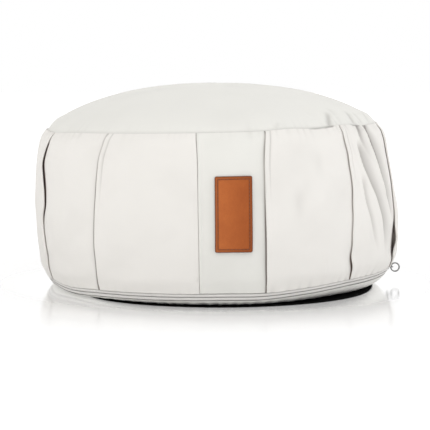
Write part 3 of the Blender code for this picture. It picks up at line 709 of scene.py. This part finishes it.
def top_folded(azimuth, share):
    """Soft troughs along short straight lines on the dome, in millimetres, and their shade."""
    x, y = on_disc(azimuth, share)
    total, dark = np.zeros_like(x), np.zeros_like(x)
    for f in TOP_FOLDS:
        a, b = np.array(on_disc(f.azimuth, f.share)), np.array(on_disc(f.end_azimuth, f.end_share))
        run = b - a
        t = ((x - a[0]) * run[0] + (y - a[1]) * run[1]) / (run @ run)
        aside = ((x - a[0]) * run[1] - (y - a[1]) * run[0]) / np.hypot(*run) * TOP_RADIUS
        fade = ease(t / 0.5 + 0.1) * ease((1.15 - t) / 0.3)
        total -= fade * f.depth * (hill(aside, f.width) - 0.45 * hill(aside - 1.9 * f.width, f.width))
        dark += fade * f.shade * hill(aside, f.width)
    return total, dark


top_azimuth = all_round(TOP_COLUMNS)
curved_shares = 0.80 + 0.188 * np.sin(np.linspace(0, np.pi / 2, 36))[1:]
top_shares = np.concatenate([np.linspace(0.04, 0.80, 42), curved_shares])
rim = side_radius(top_azimuth, 1.0) - REBATE - GAP
a, s = np.meshgrid(top_azimuth, top_shares)
away = (1 - s) * TOP_RADIUS * MM
folds, top_shade = top_folded(a, s)
rise = folds * MM + 0.24 * MM * wander(a / 360, s * 0.8, 7, 12, 14) * ease((1 - s) / 0.05)
ripples = puckers(a, away, 9.0, 11) * ease((1 - s) / 0.01)
full_shoulder = sum(hill(a - at, SHOULDER_SPREAD) for at in SHOULDERS_AT)
rise += ripples + SHOULDER_RISE * MM * full_shoulder * hill(s - 0.955, 0.04)
# painted shade: in the top's folds, hollows and ripples and beside the seam
top_shade = top_shade + hollow_shade(rise, 0.08) + hollow_shade(ripples, 0.35) + beside_seam(a, away)
outer = point(a, s * rim, dome_height(a, s) + rise)
rim_height = dome_height(top_azimuth, 1.0)
roll = [point(top_azimuth, rim + inn * MM + 0.75 * MM, rim_height + high * MM) for inn, high, _ in TOP_ROLL]
inner = [point(top_azimuth, s * (rim - 0.3 * MM), dome_height(top_azimuth, s) - CLOTH) for s in INNER_SHARES]
rings = np.concatenate([outer, roll, inner])
seam_shades = [seam_shade(top_azimuth, dark) for *_, dark in TOP_ROLL]
shades = np.concatenate([np.clip(top_shade, 0, 0.8), seam_shades, np.ones((len(inner), TOP_COLUMNS))])
fields = {"shade": shades, "brown": 0 * shades, "weave": rings[..., :2]}
domed_top = round_piece("domed_top", rings, fields)

# %% [markdown]
# ## The panel with the label
#
# A plain panel sits between a plain seam at its left and a pleat at its right, whose fold covers its
# edge. It is a thin sheet in a shallow recess of the filled form. Beside the seam the turned-in edge
# of the cloth makes a small flat ridge.

# %% Label panel
panel_up = np.clip(band_rows(96), 0.002, 0.9995)
under_fold = PLEATS[PANEL_BEFORE]
opened = unpressed(panel_up)
reach = (tuck_reach(under_fold, panel_up) - GAP) * opened - 2 * STEP * (1 - opened)
degrees = np.degrees(1 / side_radius(0.0, panel_up))
seam_at, fold_at = crossing(PANEL_SEAM, panel_up), crossing(under_fold, panel_up)
drop = DROP * (0.3 + 0.7 * loosened(panel_up))
full = SWELL * from_seams(panel_up, *SWELL_ENDS)
seam_dark, fold_dark = (through(panel_up, *zip(*line.shade)) for line in (PANEL_SEAM, under_fold))
# painted shade: darker just beside the seam and where the panel runs in under the fold
panel_columns = [
    (seam_at + inn * MM * degrees, high * MM, dark * seam_dark, PANEL_SEAM.brown)
    for inn, high, dark in (
        (0.18, -0.40, 1.0), (0.6, -0.1, 0.5), (1.2, 0.1, 0.0), (2.2, 0.28, 0.0), (3.6, 0.05, 0.0)
    )
]
stop, start = fold_at - NEAR_FOLD * degrees, seam_at + 5 * MM * degrees
for share in np.arange(1, 7) / 7:
    panel_columns.append((start + (stop - start) * share, full * np.sin(np.pi * share), 0.0, 0.3))
tone, cast = under_fold.brown, under_fold.cast
panel_columns += [
    (stop, -0.45 * drop, 0.01 * fold_dark, tone),
    (fold_at - (cast + 2.6) * MM * degrees, -0.78 * drop, 0.05 * fold_dark, tone),
    (fold_at - (cast + 0.9) * MM * degrees, -0.97 * drop, 0.20 * fold_dark, tone),
    (fold_at - cast * MM * degrees, -drop, 0.85 * fold_dark, tone),
    (fold_at + reach * degrees, -drop, 1.0, tone),
]
a, o, s, b = finer(panel_columns, panel_up)
high = panel_up[:, None] + 0 * a
s = np.clip(s, 0, 1)
(sunk, in_shade), (waves, wave_shade) = creased(a, high), uneven(a, high)
o = o * MM + (sunk + waves) * (1 - s)
front, back = band_point(a, high, o), band_point(a, high, o - PANEL_CLOTH)
inwards = -front[-1] * (1, 1, 0) / np.linalg.norm(front[-1, :, :2], axis=-1, keepdims=True)
turned_in = [front[-1] + (inwards * inn + np.array((0, 0, high))) * MM for inn, high, _ in ROLL[:3]]
seam_shades = [np.maximum(s[-1], seam_shade(a[-1], dark)) for *_, dark in ROLL[:3]]
front = np.concatenate([front, turned_in])
back = np.concatenate([back, [back[-1] + inwards * 0.1 * MM * k for k in (1, 2, 3)]])
s = np.concatenate([np.maximum(s, in_shade + wave_shade), seam_shades])
a, b = (np.concatenate([values, values[[-1] * 3]]) for values in (a, b))
weave = np.stack([np.radians(a) * 0.172, front[..., 2]], axis=-1)
label_side_panel = slab_piece("label_side_panel", front, back, {"shade": s, "brown": b, "weave": weave})

# %% [markdown]
# ## Zip lips and base
#
# Two narrow folded strips hide the zip, one sewn to the band and one to the base. They are closed
# loops of a rounded section. The base panel turns up to its seam; the weight gathers it into small
# scallops where it leaves the floor.

# %% Lips and base
LIP_SECTION = (  # share of the way down, distance in in millimetres, and the shade painted at the folded edges and inside
    (0.0, 0.7, 0.7), (0.12, 0.15, 0.25), (0.5, -0.2, 0.0), (0.88, 0.15, 0.25), (1.0, 0.7, 0.7),
    (1.0, 2.0, 1.0), (0.5, 2.1, 1.0), (0.0, 2.0, 1.0),
)
FOOT_COLUMNS, SCALLOPS, SCALLOP_DEPTH = 540, 92, 1.3


def lip(name, top, top_in, bottom, bottom_in, seed):
    """A folded strip right round the foot."""
    azimuth = all_round(FOOT_COLUMNS)
    high, low = foot_height(azimuth, top) - 0.12 * MM, foot_height(azimuth, bottom) + 0.12 * MM
    slack = 0.16 * MM * wander(azimuth / 360, 0, seed, 10, 70)
    rings = []
    for share, inn, _ in LIP_SECTION:
        radius = side_radius(azimuth, 0.0) - top_in - (bottom_in - top_in) * share - inn * MM
        rings.append(point(azimuth, radius + slack * (inn < 1), high + (low - high) * share))
    rings = np.stack(rings)
    weave = np.stack([np.radians(azimuth) * 0.165 + 0 * rings[..., 2], rings[..., 2]], axis=-1)
    shades = np.outer([dark for *_, dark in LIP_SECTION], np.ones(FOOT_COLUMNS))
    return round_piece(name, rings, {"shade": shades, "brown": 0 * shades, "weave": weave}, closed_loop=True)


zip_lip_high = lip("zip_lip_high", FOOT_SEAM, FOOT_SEAM_IN, ZIP_LINE, ZIP_LINE_IN, 21)
zip_lip_low = lip("zip_lip_low", ZIP_LINE, ZIP_LINE_IN, BASE_SEAM, BASE_SEAM_IN, 22)

azimuth = all_round(FOOT_COLUMNS)
scallop = 0.5 + 0.5 * np.cos(2 * np.pi * SCALLOPS * azimuth / 360 + 3 * wander(azimuth / 360, 0, 31, 6, 24))
gathered = 0.35 + 0.65 * hill(wrapped(azimuth) - 8, 28) + 0.4 * hill(azimuth - 58, 12)
seam = foot_height(azimuth, BASE_SEAM) - 0.15 * MM
under_shares = np.array([0.0, 0.12, 0.25, 0.38, 0.50, 0.62, 0.74, 0.85, 0.93, 0.98, 1.0])
under_high = through(under_shares, (0.0, 0.46, 0.76, 1.0), (0.0, 0.30, 0.60, 1.0))
outer = [point(azimuth, share * under_radius(azimuth, 0.0), 0.0) for share in (0.3, 0.6, 0.85)]
for share, high in zip(under_shares, under_high):
    bulge = SCALLOP_DEPTH * MM * scallop * gathered * np.sin(np.pi * share) ** 0.8
    radius = under_radius(azimuth, share) + bulge - (share == 1) * 0.4 * MM
    outer.append(point(azimuth, radius, np.maximum(high * seam - 0.35 * bulge, 0)))
inner = [point(azimuth, under_radius(azimuth, 1.0) - CLOTH, seam)] + underside(azimuth, CLOTH)[::-1]
rings = np.stack(outer + inner)
# painted shade: the base's last two rings below its seam are painted darker, and its hidden inside fully
# shaded
shades = np.outer([0] * (len(outer) - 2) + [0.3, 0.8] + [1] * len(inner), np.ones(FOOT_COLUMNS))
fields = {"shade": shades, "brown": 0 * shades, "weave": rings[..., :2]}
standing_base = round_piece("standing_base", rings, fields)

# %% [markdown]
# ## The leather label
#
# A rectangle of vegetable-tanned leather with rounded corners, sewn on close to its edge. Its
# surface is a square grid whose corners are pulled on to arcs; its edge is rounded over and a groove
# runs where the thread lies. The face is left plain.

# %% Label
LABEL_WIDTH, LABEL_HEIGHT, LABEL_THICKNESS, LABEL_CORNER = 32.2, 65.0, 1.8, 1.6  # mm
LABEL_AZIMUTH, LABEL_MIDDLE = 4.75, 0.0829
SEAM_INSET, GROOVE_WIDTH, GROOVE_DEPTH, EDGE_ROUND = 2.6, 0.55, 0.30, 0.7


def edge_steps(length, inside):
    """Places from one edge to the other, close together near both edges."""
    near = np.array([0, 0.12, 0.3, 0.55, 0.85, 1.2, 1.6, 2.0, 2.3, 2.6, 2.9, 3.2, 3.7])
    middle = np.linspace(4.4, length - 4.4, inside)
    return np.concatenate([near, middle, length - near[::-1]]) - length / 2


def label_place(x, y, out):
    """The label's points on the bent panel, from millimetres across, up and out."""
    up = (LABEL_MIDDLE + y * MM - FOOT_SEAM) / BAND_TALL
    return band_point(LABEL_AZIMUTH + np.degrees(x * MM / side_radius(LABEL_AZIMUTH, up)), up, out)


x, y = np.meshgrid(edge_steps(LABEL_WIDTH, 26), edge_steps(LABEL_HEIGHT, 52))
inside = np.minimum(LABEL_WIDTH / 2 - np.abs(x), LABEL_HEIGHT / 2 - np.abs(y))
groove = hill(inside - SEAM_INSET, GROOVE_WIDTH)
edge_fall = EDGE_ROUND * (1 - np.sqrt(1 - (1 - np.clip(inside / EDGE_ROUND, 0, 1)) ** 2))
corner_x, corner_y = (
    np.clip((np.abs(place) - size / 2) / LABEL_CORNER + 1, 0, 1)
    for place, size in ((x, LABEL_WIDTH), (y, LABEL_HEIGHT))
)
reach = np.hypot(corner_x, corner_y)
pull = np.where(reach > 0, np.maximum(corner_x, corner_y) / np.maximum(reach, 1e-9), 1)
x = x - np.sign(x) * LABEL_CORNER * corner_x * (1 - pull)
y = y - np.sign(y) * LABEL_CORNER * corner_y * (1 - pull)
relief = LABEL_THICKNESS - edge_fall - GROOVE_DEPTH * groove + 0.05 * wander(x / 60, y / 60, 41, 9, 20)
label_base = SWELL + GAP
front, back = label_place(x, y, label_base + relief * MM), label_place(x, y, label_base + 0 * x)
fields = {"edge": np.exp(-inside / 0.9), "groove": groove, "weave": np.stack([x * MM, y * MM], axis=-1)}
stitched_label = slab_piece("stitched_label", front, back, fields)

# %% Its thread
STITCH, STITCH_GAP, THREAD = 2.3, 0.9, 0.30  # mm


def thread_run():
    """Middles and directions of the stitches along the four sides, in millimetres."""
    spots = []
    half_w, half_h = LABEL_WIDTH / 2 - SEAM_INSET, LABEL_HEIGHT / 2 - SEAM_INSET
    for length, other, turned in ((2 * half_w, half_h, False), (2 * half_h, half_w, True)):
        count = round(length / (STITCH + STITCH_GAP))
        at = (np.arange(count) + 0.5) / count * length - length / 2
        for side in (-1, 1):
            spots += [(side * other, s, True) if turned else (s, side * other, False) for s in at]
    return spots


lengths, turns = np.linspace(-1, 1, 7), np.arange(8) * np.pi / 4
spindle_l, spindle_t = np.meshgrid(lengths, turns, indexing="ij")
round_off = np.sqrt(np.clip(1 - np.abs(spindle_l) ** 3.5, 0.02, 1))
points, quads = [], []
index = numbered(spindle_l.shape)
for cx, cy, upright in thread_run():
    run, aside = spindle_l * STITCH / 2, THREAD * np.cos(spindle_t) * round_off
    lift = label_base + (LABEL_THICKNESS - GROOVE_DEPTH + 0.10 + THREAD * np.sin(spindle_t) * round_off) * MM
    px, py = (cx + aside, cy + run) if upright else (cx + run, cy + aside)
    quads.append(grid_faces(index, True) + len(points) * spindle_l.size)
    points.append(label_place(px, py, lift))
label_thread = add_piece("label_thread", points, np.concatenate(quads))

# %% [markdown]
# ## Slider and ring
#
# The zip's slider is a small rounded plate with an arch, and a round wire ring hangs in it. Both
# are carried profiles: the plate is a superellipse that swells and closes along its length, and the
# arch and the ring are circles carried round an arc.

# %% Slider and ring
SLIDER_LENGTH, SLIDER_HEIGHT, SLIDER_THICKNESS = 9.5, 5.4, 2.2  # mm
SLIDER_STAND, SLIDER_NOD = 1.0, 7.0
BRIDGE_WIRE, BRIDGE_REACH, BRIDGE_SPAN, BRIDGE_ROOT = 1.2, 4.4, 6.0, 0.4
RING_RADIUS, RING_WIRE, RING_CENTRE_OUT = 4.1, 0.7, 8.8


def by_zip(local):
    """Points beside the zip's end, from millimetres outwards, along the zip and upwards."""
    nod, vertical = np.radians(SLIDER_NOD), np.array((0, 0, 1))
    level = point(ZIP_END, 1.0, 0.0)
    along = np.cross(vertical, level)
    outward = level * np.cos(nod) - vertical * np.sin(nod)
    origin = level * (side_radius(ZIP_END, 0.0) - ZIP_LINE_IN + SLIDER_STAND * MM)
    origin = origin + vertical * foot_height(ZIP_END, ZIP_LINE)
    return origin + np.asarray(local) * MM @ np.stack([outward, along, np.cross(outward, along)])


def tube(path, radius, sides, closed):
    """A round wire: circles square to a flat path."""
    tangent = np.roll(path, -1, 0) - np.roll(path, 1, 0) if closed else np.gradient(path, axis=0)
    tangent = tangent / np.linalg.norm(tangent, axis=1, keepdims=True)
    normal = np.cross(path[1] - path[0], path[2] - path[1])
    normal = normal / np.linalg.norm(normal) + 0 * path
    turn = (np.arange(sides) * 2 * np.pi / sides)[:, None, None]
    circle = np.cos(turn) * np.cross(tangent, normal) + np.sin(turn) * normal
    return (path + radius * circle).transpose(1, 0, 2)


turn = np.arange(20) * 2 * np.pi / 20
c, s = (np.sign(part) * np.abs(part) ** 0.6 for part in (np.cos(turn), np.sin(turn)))
rings = []
for share in np.linspace(-1, 1, 13):
    size = (1 - abs(share) ** 5) ** 0.35 if abs(share) < 1 else 0.12
    waist = 1 - 0.12 * np.cos(np.pi * share)
    tall, thick = SLIDER_HEIGHT / 2 * size * waist, SLIDER_THICKNESS / 2 * (0.35 + 0.65 * size)
    outwards = GAP / MM + SLIDER_THICKNESS / 2 + thick * c
    rings.append(np.stack([outwards, share * SLIDER_LENGTH / 2 + 0 * turn, tall * s], axis=-1))
plate = by_zip(np.stack(rings))
turn = np.linspace(0, np.pi, 25)
root = GAP / MM + SLIDER_THICKNESS - BRIDGE_ROOT
arch_path = [root + BRIDGE_REACH * np.sin(turn), -BRIDGE_SPAN / 2 * np.cos(turn), 0 * turn]
arch = by_zip(tube(np.stack(arch_path, axis=-1), BRIDGE_WIRE / 2, 12, False))


def capped_rows(rings, first):
    """Points and faces of a row of rings, each end closed with a fan."""
    index = numbered(rings.shape, first)
    middles, start = [rings[0].mean(axis=0), rings[-1].mean(axis=0)], first + index.size
    ends = np.concatenate([fan_faces(index[0][::-1], start), fan_faces(index[-1], start + 1)])
    return np.concatenate([rings.reshape(-1, 3), middles]), grid_faces(index, True), ends


plate_points, plate_quads, plate_ends = capped_rows(plate, 0)
arch_points, arch_quads, arch_ends = capped_rows(arch, len(plate_points))
zip_slider_body = add_piece(
    "zip_slider_body",
    np.concatenate([plate_points, arch_points]),
    np.concatenate([plate_quads, arch_quads[:, ::-1]]),
    np.concatenate([plate_ends, arch_ends[:, ::-1]]),
)
turn = np.arange(64) * 2 * np.pi / 64
ring_path = [RING_CENTRE_OUT + RING_RADIUS * np.cos(turn), 0 * turn, RING_RADIUS * np.sin(turn)]
ring_rows = by_zip(tube(np.stack(ring_path, axis=-1), RING_WIRE, 14, True))
index = numbered(ring_rows.shape)
pull_ring = add_piece("pull_ring", ring_rows, grid_faces(np.concatenate([index, index[:1]]), True))

# %% [markdown]
# ## Writing shader maths as expressions
#
# A material is a graph of nodes. To keep it readable, one small class wraps a socket: adding or
# multiplying two of them adds a Math node, and any other node comes from one method.


# %% Shader tools
class Graph:
    """The nodes of one material, and how to add another."""

    def __init__(self, name):
        self.material = bpy.data.materials.new(name)
        self.material.use_nodes = True
        self.tree = self.material.node_tree
        nodes = self.tree.nodes
        self.shader = nodes.get("Principled BSDF") or nodes.new("ShaderNodeBsdfPrincipled")

    def node(self, kind, settings=None, output=0, **inputs):
        """A node of a kind, its settings first and then its sockets, as a wrapped output."""
        made = self.tree.nodes.new("ShaderNode" + kind)
        for name, value in (settings or {}).items():
            setattr(made, name, value)
        for name, value in inputs.items():
            socket = made.inputs[int(name[1:])] if name[1:].isdigit() else made.inputs[name.replace("_", " ")]
            self.feed(socket, value)
        return Wire(self, made.outputs[output])

    def feed(self, socket, value):
        if isinstance(value, Wire):
            self.tree.links.new(value.socket, socket)
        elif isinstance(value, tuple) and len(value) == 3 and socket.type == "RGBA":
            socket.default_value = (*value, 1.0)
        else:
            socket.default_value = value

    def field(self, name, output="Fac"):
        return self.node("Attribute", {"attribute_name": name}, output)

    def place(self):
        return self.node("TexCoord", output="Object")

    def axis(self, letter, place):
        return self.node("SeparateXYZ", output=letter, Vector=place)

    def noise(self, place, scale, detail, **more):
        return self.node("TexNoise", output="Fac", Vector=place, Scale=scale, Detail=detail, **more)

    def mix(self, factor, first, second):
        """Two colours mixed by a factor."""
        return self.node("Mix", {"data_type": "RGBA"}, 2, i0=factor, i6=first, i7=second)

    def finish(self, **inputs):
        for name, value in inputs.items():
            self.feed(self.shader.inputs[name.replace("_", " ")], value)
        return self.material


class Wire:
    """One output of a node. Maths with it adds Math nodes."""

    def __init__(self, graph, socket):
        self.graph, self.socket = graph, socket

    def maths(self, operation, *values):
        sockets = {f"i{k}": value for k, value in enumerate(values)}
        return self.graph.node("Math", {"operation": operation}, 0, **sockets)

    def sine(self):
        return self.maths("SINE", self)

    def size(self):
        return self.maths("ABSOLUTE", self)

    def clamp(self):
        return self.graph.node("Clamp", Value=self)


for name, operation in (("add", "ADD"), ("sub", "SUBTRACT"), ("mul", "MULTIPLY"), ("pow", "POWER")):
    setattr(Wire, f"__{name}__", lambda self, other, kind=operation: self.maths(kind, self, other))
    setattr(Wire, f"__r{name}__", lambda self, other, kind=operation: self.maths(kind, other, self))


def grey(value):
    return (value, value, value)


# %% [markdown]
# ## Cloth
#
# The cloth is an undyed cotton twill, matt and nearly white. Its colour varies by a hundredth or
# two, and its weave is a fine relief that follows each piece's own threads. In folds, creases, dents
# and seams a painted shade darkens its colour towards a mix of grey and the warm brown of light that
# has bounced many times. The three panels differ a little in tone.

# %% Cloth finishes
THREAD_PITCH = 0.00085
SHADOW_GREY, SHADOW_BROWN = (0.16, 0.15, 0.14), (0.10, 0.045, 0.03)


def cloth(name, tone):
    g = Graph(name)
    place = g.place()
    u, v = (g.axis(letter, g.field("weave", "Vector")) for letter in "XY")
    warp, weft = ((thread * (2 * np.pi / THREAD_PITCH)).sine() for thread in (u, v))
    threads = warp * weft * 0.5 + 0.5
    mottle = g.noise(place, 26.0, 3.0, Roughness=0.55)
    slub = g.noise(place, 420.0, 2.0)
    light, dark = tuple(min(1.0, c * 1.015) for c in tone), tuple(c * 0.965 for c in tone)
    body = g.mix((mottle * 0.8 + slub * 0.2 + threads * 0.06 - 0.03).clamp(), dark, light)
    # painted shade: the shade field darkens the base colour towards the shadow colour
    depth = (g.field("shade") ** 1.1).clamp()
    shadow = g.mix(g.field("brown").clamp(), SHADOW_GREY, SHADOW_BROWN)
    relief = g.node("Bump", Strength=0.35, Distance=0.0001, Height=threads * 0.7 + slub * 0.5)
    return g.finish(
        Base_Color=g.mix(depth * 0.94, body, shadow), Roughness=0.92, Specular_IOR_Level=0.2,
        Sheen_Weight=0.08, Sheen_Roughness=0.5, Normal=relief,
    )


band_cloth = cloth("band_cloth", (0.768, 0.747, 0.713))
panel_cloth = cloth("panel_cloth", (0.742, 0.734, 0.696))
top_cloth = cloth("top_cloth", (0.752, 0.743, 0.706))
lip_cloth = cloth("lip_cloth", (0.72, 0.705, 0.680))

# %% [markdown]
# ## Leather, thread and metal
#
# Leather has a pebbled grain of small cells, a soft change of tone over its face, and edges that are
# darker where they are cut and handled. Across its face a painted shading makes it lighter at its left
# and darker at its right. The thread matches it. The zip's metal is plated, a little duller where it is
# touched.

# %% Leather, thread and metal
g = Graph("label_leather")
place = g.place()
cells = g.node("TexVoronoi", {"feature": "DISTANCE_TO_EDGE"}, "Distance", Vector=place, Scale=900.0)
cloud, fine = g.noise(place, 60.0, 4.0, Roughness=0.6), g.noise(place, 700.0, 2.0)
# painted shading across the label: lighter at its left, darker at its right
across = (g.axis("X", g.field("weave", "Vector")) * 31.0 + 0.5).clamp()
patches = (cloud * 1.3 - 0.15).clamp()
painted_lit_side = g.mix(patches, (0.42, 0.105, 0.021), (0.57, 0.166, 0.040))
painted_shaded_side = g.mix(patches, (0.28, 0.058, 0.007), (0.40, 0.098, 0.013))
face = g.mix((fine * 0.35).clamp(), g.mix(across, painted_lit_side, painted_shaded_side), (0.28, 0.068, 0.016))
worn = (g.field("edge") * 1.25 + g.field("groove") * 0.55).clamp()
colour = g.mix(worn, face, (0.105, 0.025, 0.009))
grain = g.node("Bump", Strength=0.45, Distance=0.00012, Height=(cells * 1.6).clamp() + fine * 0.4)
label_leather = g.finish(
    Base_Color=colour, Roughness=0.50 + cloud * 0.12, Normal=grain, Specular_IOR_Level=0.24
)

g = Graph("label_thread")
twist = g.node("TexWave", {"bands_direction": "DIAGONAL"}, "Fac", Vector=g.place(), Scale=900.0)
twisted = g.mix(twist, (0.14, 0.040, 0.018), (0.24, 0.075, 0.030))
label_thread_finish = g.finish(Base_Color=twisted, Roughness=0.7)

g = Graph("zip_metal")
smear = g.noise(g.place(), 500.0, 3.0)
plated = g.mix(smear, grey(0.17), (0.32, 0.32, 0.31))
zip_metal = g.finish(Base_Color=plated, Metallic=1.0, Roughness=0.22 + smear * 0.2)

# %% [markdown]
# ## Which piece stands for which solid
#
# Every piece rides on the one body, names the solid it stands for, which is hidden, and takes its
# finish.

# %% Ride, replace and hide
Dress = namedtuple("Dress", "piece nodes slot material")
for piece, nodes, slot, material in (
    Dress(pleated_band, ["filled_body"], "band_cloth", band_cloth),
    Dress(domed_top, ["top_panel"], "top_cloth", top_cloth),
    Dress(label_side_panel, ["label_panel"], "panel_cloth", panel_cloth),
    Dress(zip_lip_high, ["zip_lip_upper"], "lip_cloth", lip_cloth),
    Dress(zip_lip_low, ["zip_lip_lower"], "lip_cloth", lip_cloth),
    Dress(standing_base, ["base_panel"], "top_cloth", top_cloth),
    Dress(stitched_label, ["leather_label"], "label_leather", label_leather),
    Dress(label_thread, [], "label_leather", label_thread_finish),
    Dress(zip_slider_body, ["zip_slider"], "zip_metal", zip_metal),
    Dress(pull_ring, ["ring_pull"], "zip_metal", zip_metal),
):
    piece.data.materials.append(material)
    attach(piece, "root")
    if nodes:
        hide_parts(*nodes)

# %% [markdown]
# ## Floor, light and camera
#
# The cushion stands in an even white studio, on a white floor. Close to the cushion the floor is
# polished and mirrors its foot; farther off it is matt. Where the cushion rests on it a contact shadow
# is painted black into the floor's colour, and the floor glows, painted light that keeps it white where
# the cushion shades it. Large soft boxes stand all round, the strongest at the right. The camera is
# low, far away and level but for a few degrees, as in the photograph.

# %% Floor
POLISH_NEAR, POLISH_FAR, POLISH_MOST, POLISH_DEEP = 0.175, 0.325, 0.78, 0.75
# the painted contact shadow: black inside a circle under the cushion, cut off softly at both sides
DARK_RADIUS, DARK_X, CUT_X, CUT_STRETCH, CUT_POWER = 0.1615, 0.002, 0.0149, 1.086, 8
floor_mesh = bpy.data.meshes.new("studio_floor")
floor_mesh.from_pydata([(-6, -6, 0), (6, -6, 0), (6, 9, 0), (-6, 9, 0)], [], [(0, 1, 2, 3)])
floor = add_object("studio_floor", floor_mesh)
g = Graph("studio_floor")
place = g.place()
x, y = (g.axis(letter, place) for letter in "XY")
far = (x * x * POLISH_DEEP + y * y) ** 0.5
radius = ((x - DARK_X) * (x - DARK_X) + y * y) ** 0.5
polish = ((POLISH_FAR - far) * (1 / (POLISH_FAR - POLISH_NEAR))).clamp() * POLISH_MOST
cut = (x - CUT_X).size() * CUT_STRETCH
painted_shadow_outline = (radius**CUT_POWER + cut**CUT_POWER) ** (1 / CUT_POWER)  # the painted contact shadow's outline: a circle, cut off softly at both sides
outside_painted_shadow = ((painted_shadow_outline - DARK_RADIUS) * 500.0 + 0.5).clamp()
floor_colour_and_painted_shadow = g.mix(outside_painted_shadow, grey(0.01), g.mix(polish, grey(0.60), grey(0.995)))
# painted light: the floor glows, none in the painted shadow, weaker on the polished ring, stronger far off
# and just beside the cushion, where it lifts the cushion's shade
near, away = ((0.60 - radius) * 2.5).clamp(), ((radius - 0.8) * 0.6).clamp()
lift = g.mix(near, g.mix(away, grey(0.50), grey(0.74)), grey(0.48))
glow_beside_cushion = ((0.200 - radius) * 30.0).clamp() * 0.20
glow = g.mix(outside_painted_shadow * ((1 - polish) * (1 - 0.35 * polish) + glow_beside_cushion), grey(0.0), lift)
floor_mesh.materials.append(
    g.finish(
        Base_Color=floor_colour_and_painted_shadow, Metallic=polish * outside_painted_shadow, Roughness=0.13, Specular_IOR_Level=0.0,
        Emission_Color=glow, Emission_Strength=1.0,
    )
)

# %% Light
world = bpy.data.worlds.new("studio")
bpy.context.scene.world = world
world.use_nodes = True
sky = world.node_tree
background = sky.nodes.get("Background") or sky.nodes.new("ShaderNodeBackground")
direction, height = sky.nodes.new("ShaderNodeTexCoord"), sky.nodes.new("ShaderNodeSeparateXYZ")
fade = sky.nodes.new("ShaderNodeMapRange")
fade.interpolation_type = "SMOOTHSTEP"
for name, value in (("From Min", 0.25), ("From Max", 0.85), ("To Min", 1.0), ("To Max", 0.45)):
    fade.inputs[name].default_value = value
sky.links.new(direction.outputs["Generated"], height.inputs["Vector"])
sky.links.new(height.outputs["Z"], fade.inputs["Value"])
sky.links.new(fade.outputs["Result"], background.inputs["Strength"])
background.inputs["Color"].default_value = (1.0, 1.0, 1.0, 1.0)
Softbox = namedtuple("Softbox", "name place aim wide high power tone")
SOFTBOXES = (
    Softbox("left_box", (-1.35, -0.8, 1.55), (0, 0, 0.08), 1.0, 1.0, 8.0, (1.0, 0.99, 0.97)),
    Softbox("right_box", (1.62, -0.42, 1.35), (0, 0, 0.08), 1.0, 1.0, 10.3, (0.97, 0.98, 1.0)),
    Softbox("front_box", (-0.15, -1.54, 1.75), (0, 0, 0.1), 1.4, 0.8, 7.8, (1.0, 0.99, 0.97)),
    Softbox("back_box", (0.3, 1.7, 1.3), (0, 0, 0.1), 1.4, 0.8, 6.0, (1.0, 0.99, 0.98)),
)


def pointed(place, aim):
    """A turn that looks from a place to an aim, level across."""
    return (Vector(aim) - Vector(place)).to_track_quat("-Z", "Y").to_euler()


for box in SOFTBOXES:
    lamp = bpy.data.lights.new(box.name, "AREA")
    lamp.shape, lamp.size, lamp.size_y = "RECTANGLE", box.wide, box.high
    lamp.energy, lamp.color = box.power, box.tone
    holder = add_object(box.name, lamp)
    holder.location, holder.rotation_euler = box.place, pointed(box.place, box.aim)

# %% Camera
PICTURE, FOCAL_PIXELS, SENSOR = 430, 1517.6, 36.0
CAMERA_PLACE = (0.0, -1.472, 0.214)
DOWN = np.arctan((PICTURE / 2 - 61.5) / FOCAL_PIXELS)  # the horizon lies at row 61.5 of the picture
ASIDE = np.arctan(2.0 / FOCAL_PIXELS)  # the axis lies two pixels right of the picture's middle
lens = bpy.data.cameras.new("camera")
lens.sensor_width, lens.lens = SENSOR, FOCAL_PIXELS * SENSOR / PICTURE
camera = add_object("camera", lens)
camera.location, camera.rotation_euler = CAMERA_PLACE, (np.pi / 2 - DOWN, 0.0, ASIDE)
bpy.context.scene.camera = camera
bpy.context.scene.view_settings.view_transform = "Standard"
print(f"lens {lens.lens:.1f} mm, {np.degrees(DOWN):.2f} degrees down")
